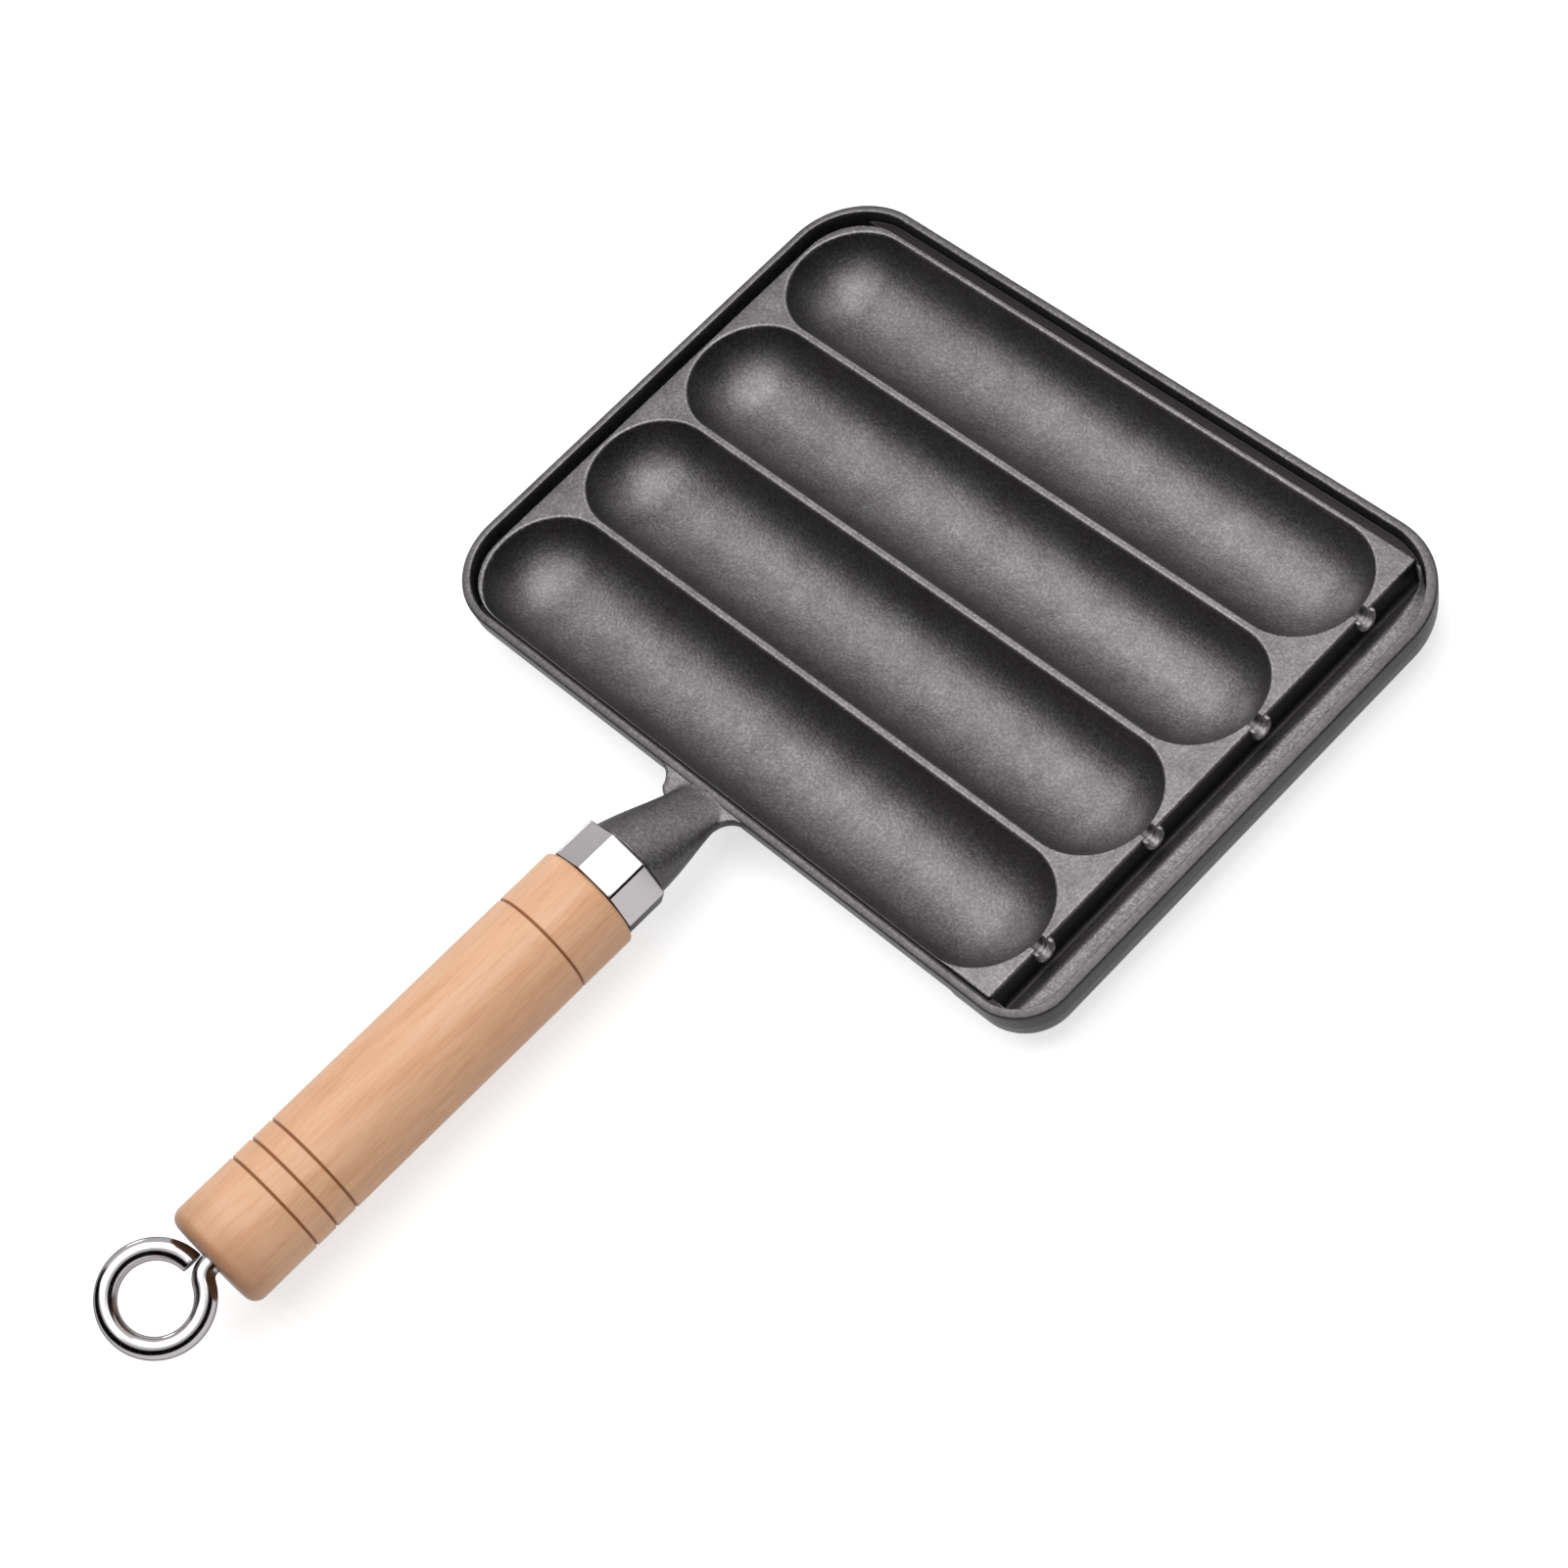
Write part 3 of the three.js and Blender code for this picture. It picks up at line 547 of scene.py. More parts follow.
def underside_height(x, y):
    """Smooth minimum of the plate's rounded edge, four arc bulges on flat lands, and the quarter ellipse of
    the skirt."""
    lift = np.clip(EDGE_DRAFT + EDGE_ROUND - inside(x, y, PAN), 0, EDGE_ROUND)
    z = PLATE_BOTTOM + EDGE_ROUND - np.sqrt(EDGE_ROUND ** 2 - lift ** 2)
    for axis in TROUGH_AXES:
        w = np.maximum(spine_distance(x, y, axis), LAND_HALF)
        bulge = ARC_CENTRE - np.sqrt(np.maximum(BULGE_RADIUS ** 2 - w ** 2, 0))
        z = smooth_min(z, bulge, BULGE_BLEND)
    s = inside(x, y, SKIRT) - SKIRT_EDGE
    dip = np.clip(1 - s / SKIRT_ROUND, 0, 1)
    skirt = SKIRT_TOP - SKIRT_DROP * np.sqrt(1 - dip ** 2)
    return np.maximum(np.where(s > 0, smooth_min(z, skirt, SKIRT_BLEND), z), 0.0)


print("under a trough z = %.2f mm" % underside_height(np.array(0.0), TROUGH_AXES[0]))

# %% [markdown]
# ## Rows of the border
# Each row is one outline cut by all the rays, with a height and a mark. The edges are a little rubbed and
# carry a painted highlight, the gutter's outer floor carries a painted highlight, the plateau's wall, the
# channel, the gutter's inner floor, the rim's walls and top and the outside carry painted shade, and soot
# stays underneath.

# %% Rows over the plateau's edge and the floor
# Wear and a painted highlight on the plateau's lip, painted shade on its wall, in the channel and in the
# gutter.
PLATEAU_LIP_WEAR_AND_HIGHLIGHT, WALL_PAINTED_SHADE, CHANNEL_PAINTED_SHADE = 0.5, -0.9, -1.0
GUTTER_PAINTED_SHADE, GUTTER_PAINTED_HIGHLIGHT = -0.9, 1.55
HIGHLIGHT_FROM, HIGHLIGHT_OVER, HIGHLIGHT_TO, HIGHLIGHT_FADE = 0.24, 0.12, 0.92, 0.08
QUARTER = np.linspace(0, np.pi / 2, 7)
FLOOR_SHARES = np.concatenate([[0, 0.01, 0.025, 0.05, 0.075, 0.1], np.linspace(0.14, 0.86, 15),
                               [0.9, 0.94, 0.97, 0.985, 1]])
FLOOR_LIMIT, GUTTER_LIMIT = 0.5, 1.4


def floor_rows():
    """Rows at growing shares of the way from the plateau's wall to the rim's. The gutter's floor has painted
    shade, with a painted highlight from a quarter of the way across to just short of the rim; the channel has
    painted shade."""
    inner, outer = cut_rays(PLATEAU, 0), cut_rays(POCKET, EDGE_DRAFT)
    width = np.linalg.norm(outer - inner, axis=1)
    room = POCKET[1] - cut_rays(POCKET, 0)[:, 0]
    limit = CHANNEL_FLOOR + np.where(in_gutter, GUTTER_LIMIT, FLOOR_LIMIT)
    rows = []
    for a in FLOOR_SHARES:
        plan = inner + a * (outer - inner)
        z = np.minimum(floor_height(plan[:, 0], plan[:, 1], a * width, width, room), limit)
        gutter_highlight = smooth_step((a - HIGHLIGHT_FROM) / HIGHLIGHT_OVER)
        gutter_highlight = gutter_highlight * smooth_step((HIGHLIGHT_TO - a) / HIGHLIGHT_FADE)
        # In the gutter a painted highlight over painted shade, and in the channel painted shade.
        wear_and_light = np.where(in_gutter, GUTTER_PAINTED_HIGHLIGHT * gutter_highlight + GUTTER_PAINTED_SHADE, CHANNEL_PAINTED_SHADE)
        rows.append((plan, z, wear_and_light))
    return rows


def plateau_rows(foot):
    """The plateau's lip as a quarter circle, and then its wall down to the foot."""
    rows = []
    for t in QUARTER:
        z = PLATEAU_TOP - PLATEAU_LIP * (1 - np.cos(t))
        # The lip's mark is rubbed wear and a painted highlight.
        rows.append((cut_rays(PLATEAU, PLATEAU_LIP * (1 - np.sin(t))), z, PLATEAU_LIP_WEAR_AND_HIGHLIGHT * np.sin(2 * t)))
    inner = cut_rays(PLATEAU, 0)
    for k in np.linspace(0, 1, 9)[1:-1]:
        # Painted shade on the plateau's wall.
        rows.append((inner, (1 - k) * (PLATEAU_TOP - PLATEAU_LIP) + k * foot, WALL_PAINTED_SHADE))
    return rows


print("rows over the floor:", len(FLOOR_SHARES))

# %% [markdown]
# ### Rim and underside
# The rim is a wall with two round edges. Under it the rows shrink to a line along the middle of the pan.
# There both halves of the ring have the same points, so the weld closes the casting.

# %% Rows over the rim and the underside
# Rubbed wear and a painted highlight on the rim's edges, painted shade on its walls, its top and the outside,
# and soot underneath.
RIM_EDGE_WEAR_AND_HIGHLIGHT, RIM_INNER_PAINTED_SHADE, RIM_OUTER_PAINTED_SHADE = 0.3, -0.15, -0.9
RIM_WALL_PAINTED_SHADE, OUTSIDE_PAINTED_SHADE, UNDER_WEAR = -0.6, -0.85, -0.5
UNDER_INSETS = (0.45, 0.5, 0.58, 0.62, 0.66, 0.72, 0.8, 0.9, 1.0, 1.2, 1.6)
UNDER_ROWS = 45
CORE_ENDS = -70.0, 85.0


def rim_rows(head):
    """Up the rim's inner wall from the floor's head, round its two edges, and down the outside."""
    rise = RIM_TOP - EDGE_ROUND
    bottom = PLATE_BOTTOM + EDGE_ROUND
    rows = []
    for k in (0.15, 0.35, 0.65, 1.0):
        rows.append((cut_rays(POCKET, EDGE_DRAFT * (1 - k)), (1 - k) * head + k * rise, RIM_WALL_PAINTED_SHADE))
    for t in QUARTER[1:]:
        plan = cut_rays(POCKET, -EDGE_ROUND * (1 - np.cos(t)))
        rows.append((plan, rise + EDGE_ROUND * np.sin(t), RIM_EDGE_WEAR_AND_HIGHLIGHT * np.sin(2 * t) + RIM_INNER_PAINTED_SHADE))
    for t in QUARTER[::-1]:
        plan = cut_rays(PAN, EDGE_ROUND * (1 - np.cos(t)))
        rows.append((plan, rise + EDGE_ROUND * np.sin(t), RIM_EDGE_WEAR_AND_HIGHLIGHT * np.sin(t) + RIM_OUTER_PAINTED_SHADE))
    for k in (0.3, 0.6, 1.0):
        rows.append((cut_rays(PAN, EDGE_DRAFT * k), rise + k * (bottom - rise), OUTSIDE_PAINTED_SHADE))
    return rows


def underside_rows():
    """Outlines just inside the edge, and then edge + k (core - edge) down to the core line."""
    plans = [cut_rays(PAN, inset) for inset in UNDER_INSETS]
    edge = plans[-1]
    core = np.stack([np.clip(edge[:, 0], *CORE_ENDS), np.zeros(len(edge))], axis=-1)
    plans += [edge + k * (core - edge) for k in np.linspace(0, 1, UNDER_ROWS)[1:]]
    return [(plan, underside_height(plan[:, 0], plan[:, 1]), UNDER_WEAR) for plan in plans]


print("rows over the underside:", len(underside_rows()))

# %% [markdown]
# ### The border's grid
# All rows are stacked from the plateau's lip to the middle of the underside. The troughs and their drain
# notches still cut into the first rows, so those heights are lowered to theirs.

# %% Border grid
CELL_MARGIN = 3.0


def border_grid():
    """Heights over the plan: the lower of the rows' own and the troughs', but not below the gutter's foot."""
    floor = floor_rows()
    foot, head = floor[0][1], floor[-1][1]
    wall = plateau_rows(foot)
    rows = wall + floor + rim_rows(head) + underside_rows()
    plan = np.stack([row[0] for row in rows])
    z, wear_and_light = [np.stack([np.broadcast_to(row[part], len(foot)) for row in rows]) for part in (1, 2)]
    upper = slice(0, len(wall) + 1)
    x, y = plan[upper, :, 0], plan[upper, :, 1]
    for axis in TROUGH_AXES:
        cut = np.minimum(trough_height(spine_distance(x, y, axis)), notch_height(x, y, axis))
        cuts = (np.abs(y - axis) < PITCH / 2 + CELL_MARGIN) & (cut < PLATEAU_TOP)
        cut = np.where(cuts, cut, np.inf)
        z[upper] = np.minimum(z[upper], np.maximum(cut, np.where(in_gutter, foot, cut)))
    return np.concatenate([plan, z[..., None]], axis=-1), wear_and_light


border, border_wear_and_light = border_grid()
print("border grid:", border.shape)

# %% [markdown]
# ## Spouts
# Each drain notch ends in a short spout over the gutter, so that the fat drips clear of the wall. It is a
# U-shaped lip: a profile carried along x, which thins to a rounded bead at its end.

# %% Spout grids
SPOUT_WALL, SPOUT_START, SPOUT_MIDDLE, SPOUT_END = 1.0, 96.5, 97.8, 98.9
SPOUT_TOP = 0.5
SPOUT_WEAR = 0.4
BEND_POINTS, SIDE_POINTS = 25, 5


def spout_grid(axis):
    """Middle line of the U: down one side, round a half circle and up the other. The half thickness at x is
    h sqrt(1 - u^2) over the rounded end, and 0 at the root, so both ends are closed."""
    r, h = NOTCH_RADIUS + SPOUT_WALL / 2, SPOUT_WALL / 2
    centre = PLATEAU_TOP - NOTCH_DEPTH + NOTCH_RADIUS
    t = np.linspace(-np.pi, 0, BEND_POINTS)
    straight = np.linspace(PLATEAU_TOP - SPOUT_TOP - centre, 0, SIDE_POINTS + 1)[:-1]
    y = np.concatenate([np.full(SIDE_POINTS, -1.0), np.cos(t), np.full(SIDE_POINTS, 1.0)])
    z = np.concatenate([straight, np.zeros(BEND_POINTS), straight[::-1]])
    nz = np.concatenate([np.zeros(SIDE_POINTS), np.sin(t), np.zeros(SIDE_POINTS)])
    u = np.sin(np.linspace(0, np.pi / 2, 6))
    x = np.concatenate([[SPOUT_START, SPOUT_START, SPOUT_MIDDLE], SPOUT_END - h + h * u])[:, None]
    thick = np.concatenate([[0, h, h], h * np.sqrt(np.maximum(1 - u ** 2, 0))])[:, None]
    skins = []
    for radius in (r + thick, r - thick):
        skin = np.broadcast_arrays(x, axis + radius * y, centre + z + radius * nz)
        skins.append(np.stack(skin, axis=-1))
    return np.concatenate([skins[0], skins[1][:, ::-1]], axis=1)


spouts = [spout_grid(axis) for axis in TROUGH_AXES]
print("spout grid:", spouts[0].shape)

# %% [markdown]
# ## The neck
# The neck is cast with the pan: a web level with the rim, which rises into a round shoulder for the ferrule.
# Two shapes could be pushed into each other, but cast iron has a fillet there. So each section is drawn in
# polar coordinates, and a smooth maximum of the two radii makes the fillet. Past the shoulder follow the
# spigot that the ferrule hides and the hole for the bolt.

# %% Neck sizes
AXIS_HEIGHT = 23.77
TILT = np.radians(0.8)
DROP = RIM_TOP - AXIS_HEIGHT
NECK_ROOT, NECK_LENGTH, SHOULDER, WAIST = -1.4, 26.8, 12.0, 8.0
ROOT_TOP, ROOT_BOTTOM = DROP - 0.6, DROP - 3.2
WEB_HALF, WEB_SHIFT, WEB_FILLET, WEB_CORNER = 10.0, -2.2, 6.5, 1.2
WEB_TOP, WEB_BOTTOM = DROP - 0.25, DROP - 3.25
WEB_LENGTH, WEB_BLEND = 9.0, 1.6
WEB_POLE, POLE_RETURN = np.array([-1.0, DROP - 1.8]), 14.0
SPIGOT_RADIUS, SPIGOT_END, SPIGOT_BEVEL = 10.9, 31.8, 0.5
SEAT_RELIEF = 0.2
HOLE_RADIUS, HOLE_END, HOLE_BEVEL, DRILL_POINT = 3.2, 16.8, 0.3, 1.5


def handle_point(across, along, up):
    """From handle sizes, along the axis from the rim, to the row frame: the axis rises by TILT."""
    y = -HALF_WIDTH - along * np.cos(TILT) + up * np.sin(TILT)
    z = AXIS_HEIGHT + along * np.sin(TILT) + up * np.cos(TILT)
    return np.stack(np.broadcast_arrays(across, y, z), axis=-1) + shift


print("the handle's axis meets the rim at", handle_point(0.0, 0.0, 0.0).round(2), "mm")

# %% [markdown]
# ### Sections of the neck
# A section has its pole inside both shapes, in the web at first and on the axis later. The rays from the
# pole are closer together at the sides, where the web's edge is.

# %% Neck grid
CLOSER = 0.45
FLARE_START, FLARE_END = 0.4, 8.0
even = np.linspace(0, 2 * np.pi, 160, endpoint=False)
neck_angle = even - CLOSER * np.sin(2 * even)
neck_heading = np.stack([np.cos(neck_angle), np.sin(neck_angle)], axis=-1)


def neck_section(along):
    """Section radius = smooth maximum of the rays to the neck's ellipse and to the web's rounded rectangle.
    The ellipse's ray is the root of a t^2 + 2 b t + c = 0 in its own scaled axes. The web fades out towards
    WEB_LENGTH."""
    s = np.clip((along - NECK_ROOT) / (NECK_LENGTH - NECK_ROOT), 0, 1)
    half = WAIST + (SHOULDER - WAIST) * smooth_step(s)
    top, bottom = ROOT_TOP + (SHOULDER - ROOT_TOP) * s, ROOT_BOTTOM + (-SHOULDER - ROOT_BOTTOM) * s
    pole = WEB_POLE * (1 - smooth_step((along - WEB_LENGTH) / POLE_RETURN))
    size = np.array([half, (top - bottom) / 2])
    off, d = (pole - [0, (top + bottom) / 2]) / size, neck_heading / size
    a, b, c = (d * d).sum(1), d @ off, off @ off - 1
    neck = (-b + np.sqrt(b * b - a * c)) / a
    wide = WEB_HALF + fillet(along, WEB_FILLET)
    web = (WEB_SHIFT - wide, WEB_SHIFT + wide, WEB_BOTTOM, WEB_TOP, WEB_CORNER, WEB_CORNER, WEB_CORNER)
    flat = reach(np.tile(WEB_POLE, (len(neck_heading), 1)), neck_heading, web, 0.0)
    fade = smooth_step((along - WEB_LENGTH / 2) / (WEB_LENGTH / 2))
    radius = -smooth_min(-neck, -flat * (1 - fade) - (neck - WEB_BLEND) * fade, WEB_BLEND)
    return handle_point(pole[0] + radius * neck_heading[:, 0], along, pole[1] + radius * neck_heading[:, 1])


def neck_grid():
    """The sections, then the spigot and the hole as circles, closed by a pole at each end."""
    along = np.concatenate([np.linspace(NECK_ROOT, FLARE_START, 4),
                            np.linspace(FLARE_START, FLARE_END, 26)[1:],
                            np.linspace(FLARE_END, NECK_LENGTH, 30)[1:]])
    rows = [neck_section(y) for y in along]
    circles = [(SPIGOT_RADIUS + SEAT_RELIEF, NECK_LENGTH), (SPIGOT_RADIUS, NECK_LENGTH + SEAT_RELIEF),
               (SPIGOT_RADIUS, SPIGOT_END - SPIGOT_BEVEL), (SPIGOT_RADIUS - SPIGOT_BEVEL, SPIGOT_END),
               (HOLE_RADIUS + HOLE_BEVEL, SPIGOT_END), (HOLE_RADIUS, SPIGOT_END - HOLE_BEVEL),
               (HOLE_RADIUS, HOLE_END), (0.0, HOLE_END - DRILL_POINT)]
    rows += [handle_point(r * neck_heading[:, 0], y, r * neck_heading[:, 1]) for r, y in circles]
    return np.stack([np.broadcast_to(rows[0].mean(axis=0), rows[0].shape), *rows])


neck = neck_grid()
print("neck grid:", neck.shape)

# %% [markdown]
# ### Painted light on the neck
# The side of the neck that catches the highlight gets a painted highlight, and its other sides and
# underside get painted shade. How far each point faces that side comes from the grid itself.

# %% Painted light on the neck
HIGHLIGHT_SIDE = np.array([0.5, 0.1, 0.86])
NECK_PAINTED_HIGHLIGHT, NECK_PAINTED_SHADE = 0.8, -0.7
HIGHLIGHT_FROM_FACING, HIGHLIGHT_OVER_FACING = 0.35, 0.55


def facing(grid, direction):
    """How far the surface faces a direction: its unit normal, the cross product of the grid's two
    directions, times that direction."""
    normal = np.cross(np.roll(grid, -1, axis=1) - np.roll(grid, 1, axis=1), np.gradient(grid, axis=0))
    return normal @ direction / np.maximum(np.linalg.norm(normal, axis=-1), LEVEL)


# Painted highlight where the neck faces the light, painted shade on the rest of the neck.
neck_painted_light = NECK_PAINTED_HIGHLIGHT * smooth_step((facing(neck, HIGHLIGHT_SIDE) - HIGHLIGHT_FROM_FACING) / HIGHLIGHT_OVER_FACING) + NECK_PAINTED_SHADE
print("neck wear from %.2f to %.2f" % (neck_painted_light.min(), neck_painted_light.max()))

# %% [markdown]
# ## The casting as one piece
# Troughs, border, spouts and neck become one mesh. The grids of the pan run outwards from the spine, so
# their faces are turned over to point up.

# %% Assemble the casting
grids = [(grid + shift, True, wear_and_light) for grid, wear_and_light in troughs]
grids += [(border + shift, True, border_wear_and_light)]
grids += [(grid + shift, False, SPOUT_WEAR) for grid in spouts]
grids += [(neck, False, neck_painted_light)]
piece_from_grids("iron_casting", grids, iron, "pan", "pan_casting")

# %% [markdown]
# ## Turned beech
# Beech is a pale, dense wood with a fine straight grain and short dark flecks. The grip was turned and
# oiled, so it has a low sheen. The grain is a noise that is stretched along the handle. Real fibres are finer
# than the picture can show, so they are drawn wider. The dark rings were burnt with a wire while the wood
# turned, and the tail's round and end face get a painted shade in the same burnt brown: 'mark' says where.

# %% Beech
FIBRE = 0.35 * MM
FIGURE = 5 * MM
FIBRE_HEIGHT = 0.06 * MM
FIBRE_STRETCH, FIGURE_STRETCH = (1.0, 0.035, 1.0), (1.0, 0.12, 1.0)


def beech():
    """Broad figure and fine fibres set the colour, and burnt wood and painted shade mix over it."""
    material, tree = new_material("Turned beech")
    place = add(tree, "ShaderNodeTexCoord").outputs["Object"]
    drawn = add(tree, "ShaderNodeMapping", Vector=place, Scale=FIBRE_STRETCH).outputs["Vector"]
    fibre = add(tree, "ShaderNodeTexNoise", Vector=drawn, Scale=1 / FIBRE, Detail=3.0, Roughness=0.55)
    fibre = fibre.outputs["Fac"]
    broad = add(tree, "ShaderNodeMapping", Vector=place, Scale=FIGURE_STRETCH).outputs["Vector"]
    figure = add(tree, "ShaderNodeTexNoise", Vector=broad, Scale=1 / FIGURE, Detail=4.0, Roughness=0.6)
    ground = add(tree, "ShaderNodeValToRGB", Fac=figure.outputs["Fac"],
                 stops=[(0.3, "#ce9a76"), (0.5, "#d7a884"), (0.72, "#deb291")])
    streak = add(tree, "ShaderNodeValToRGB", Fac=fibre, stops=[(0.3, "#d9b79a"), (0.55, "#ffffff")])
    grained = add(tree, "ShaderNodeMix", MULTIPLY, i0=0.35, i6=ground.outputs[0], i7=streak.outputs[0])
    mark = add(tree, "ShaderNodeAttribute", {"attribute_name": "mark"}).outputs["Fac"]
    burnt_and_shaded = add(tree, "ShaderNodeMix", MIX, i0=mark, i6=grained.outputs[2], i7=linear("#84502c"))
    rough = add(tree, "ShaderNodeMapRange", Value=fibre, i1=0.3, i2=0.7, i3=0.42, i4=0.55)
    bump = add(tree, "ShaderNodeBump", Strength=0.25, Distance=FIBRE_HEIGHT, Height=fibre)
    skin = add(tree, "ShaderNodeBsdfPrincipled", Base_Color=burnt_and_shaded.outputs[2],
               Roughness=rough.outputs["Result"], Normal=bump.outputs["Normal"], Specular_IOR_Level=0.4)
    add(tree, "ShaderNodeOutputMaterial", Surface=skin.outputs["BSDF"])
    return material


wood = beech()
print("made", wood.name)

# %% [markdown]
# ## The grip
# A turned piece is a profile that goes round an axis, so the grip is a grid of profile points and angles.
# The profile starts in the bore, runs over the tenon, the front, the grooves and the round tail, and ends in
# the bore. The end of the shaft, the tail and its end face are browned with painted shade.

# %% Grip profile
GRIP_FRONT, GRIP_LENGTH, GRIP_RADIUS = 39.9, 129.8, 15.1
TENON_LENGTH, TENON_BEVEL, BORE_RADIUS, BORE_BEVEL = 6.8, 0.4, 3.4, 0.3
FRONT_ROUND, TAIL_ROUND = 1.2, 3.5
GROOVES = np.array([17.4, 95.6, 102.2, 108.8])
GROOVE_HALF, GROOVE_DEPTH, GROOVE_BURN = 0.55, 0.5, 1.35
# Painted shade browns the shaft towards the tail, the tail's round and its end face.
TAIL_SHADE, TAIL_SHADE_LENGTH, TAIL_END_SHADE, FACE_PAINTED_SHADE = 0.3, 9.0, 0.8, 0.85


def grip_shaft():
    """Radius along the grip, R - depth cos^2 over each groove, and how much burn and painted shade it has."""
    even_steps = np.linspace(FRONT_ROUND, GRIP_LENGTH - TAIL_ROUND, 60)[1:-1]
    over_grooves = GROOVES[:, None] + GROOVE_HALF * np.linspace(-1.3, 1.3, 15)
    along = np.sort(np.concatenate([even_steps, over_grooves.ravel()]))
    u = np.clip(np.abs(along[:, None] - GROOVES).min(axis=1) / GROOVE_HALF, 0, 1)
    dip = GROOVE_DEPTH * np.cos(u * np.pi / 2) ** 2
    # Painted shade on the last part of the shaft.
    shade_near_tail = TAIL_SHADE * smooth_step((along - GRIP_LENGTH + TAIL_ROUND + TAIL_SHADE_LENGTH) / TAIL_SHADE_LENGTH)
    burn_and_shade = np.maximum(np.clip(GROOVE_BURN * (1 - u), 0, 1), shade_near_tail)
    return np.stack([along, GRIP_RADIUS - dip], axis=1), burn_and_shade


def grip_profile():
    """(along, radius) pairs: tenon, front quarter circle, shaft, tail quarter circle, face and bore."""
    q = np.linspace(0, np.pi / 2, 10)
    tenon = np.array([[-TENON_LENGTH, BORE_RADIUS], [-TENON_LENGTH, SPIGOT_RADIUS - TENON_BEVEL],
                      [-TENON_LENGTH + TENON_BEVEL, SPIGOT_RADIUS], [0, SPIGOT_RADIUS]])
    front = np.stack([FRONT_ROUND * (1 - np.cos(q)), GRIP_RADIUS - FRONT_ROUND * (1 - np.sin(q))], axis=1)
    shaft, shaft_burn_and_shade = grip_shaft()
    tail = np.stack([GRIP_LENGTH - TAIL_ROUND * (1 - np.sin(q)),
                     GRIP_RADIUS - TAIL_ROUND * (1 - np.cos(q))], axis=1)
    face_radius = np.linspace(GRIP_RADIUS - TAIL_ROUND, BORE_RADIUS + BORE_BEVEL, 5)[1:]
    face = np.stack([np.full_like(face_radius, GRIP_LENGTH), face_radius], axis=1)
    bore = np.array([[GRIP_LENGTH - BORE_BEVEL, BORE_RADIUS], [-TENON_LENGTH, BORE_RADIUS]])
    burn_and_shade = np.concatenate([np.zeros(len(tenon) + len(front)), shaft_burn_and_shade,
                            np.linspace(TAIL_SHADE, TAIL_END_SHADE, len(tail)),
                            np.full(len(face) + len(bore), FACE_PAINTED_SHADE)])
    return np.concatenate([tenon, front, shaft, tail, face, bore]) + [GRIP_FRONT, 0], burn_and_shade


profile, burn_and_shade = grip_profile()
print("grip profile:", len(profile), "points")

# %% [markdown]
# ### Turning the profile
# Every angle gets the same profile, so one product of two arrays makes all points.

# %% Grip
def turned(profile, sides=96):
    """Points (radius cos t, along, radius sin t) for a profile of (along, radius) pairs."""
    t = np.linspace(0, 2 * np.pi, sides, endpoint=False)
    return handle_point(profile[:, 1:] * np.cos(t), profile[:, :1], profile[:, 1:] * np.sin(t))


grids = [(turned(profile), False, burn_and_shade[:, None])]
piece_from_grids("turned_grip", grids, wood, "handle", "wood_grip")

# %% [markdown]
# ## Polished plated steel
# The ferrule and the eye are bright plated steel. Polished metal has hardly any colour of its own: the eye
# sees the room in it. It needs full metallic, a low roughness and a faint haze of fine scratches. Scratches
# are too fine for the picture, so the haze is a soft noise in the roughness, a few millimetres wide.

# %% Plated steel
HAZE = 2 * MM


def plated_steel():
    """A bright metal whose roughness changes a little with the haze."""
    material, tree = new_material("Polished plated steel")
    place = add(tree, "ShaderNodeTexCoord").outputs["Object"]
    haze = add(tree, "ShaderNodeTexNoise", Vector=place, Scale=1 / HAZE, Detail=3.0).outputs["Fac"]
    rough = add(tree, "ShaderNodeMapRange", Value=haze, i1=0.3, i2=0.7, i3=0.14, i4=0.18)
    skin = add(tree, "ShaderNodeBsdfPrincipled", Base_Color=linear("#aca8a9"), Metallic=1.0,
               Roughness=rough.outputs["Result"], Specular_Tint=linear("#505050"))
    add(tree, "ShaderNodeOutputMaterial", Surface=skin.outputs["BSDF"])
    return material


steel = plated_steel()
print("made", steel.name)

# %% [markdown]
# ## The ferrule
# The ferrule is a collar with eight flats and soft corners. Its section in polar form is the distance to the
# nearest flat, and near a corner the distance to the corner's circle, so it is one more grid that goes round
# the axis.

# %% Ferrule
FERRULE_FRONT, FERRULE_LENGTH = 27.1, 12.5
FLAT_DISTANCE, FERRULE_CORNER, BEVEL = 13.2, 1.2, 0.5
FERRULE_BORE, FERRULE_MOUTH = 11.2, 0.4
ROLL = np.radians(27)


def octagon(angle, inset):
    """Radius of a rounded octagon. With a the angle from the nearest flat's middle: d / cos a, or on the
    corner's circle, whose centre lies at (d - r, (d - r) tan 22.5), the far root of the ray."""
    d, r = FLAT_DISTANCE - inset, FERRULE_CORNER
    a = np.abs((angle + np.pi / 8) % (np.pi / 4) - np.pi / 8)
    centre = (d - r) * np.array([1, np.tan(np.pi / 8)])
    b = centre[0] * np.cos(a) + centre[1] * np.sin(a)
    arc = b + np.sqrt(np.maximum(b * b - centre @ centre + r * r, 0))
    return np.where(d * np.tan(a) > centre[1], arc, d / np.cos(a))


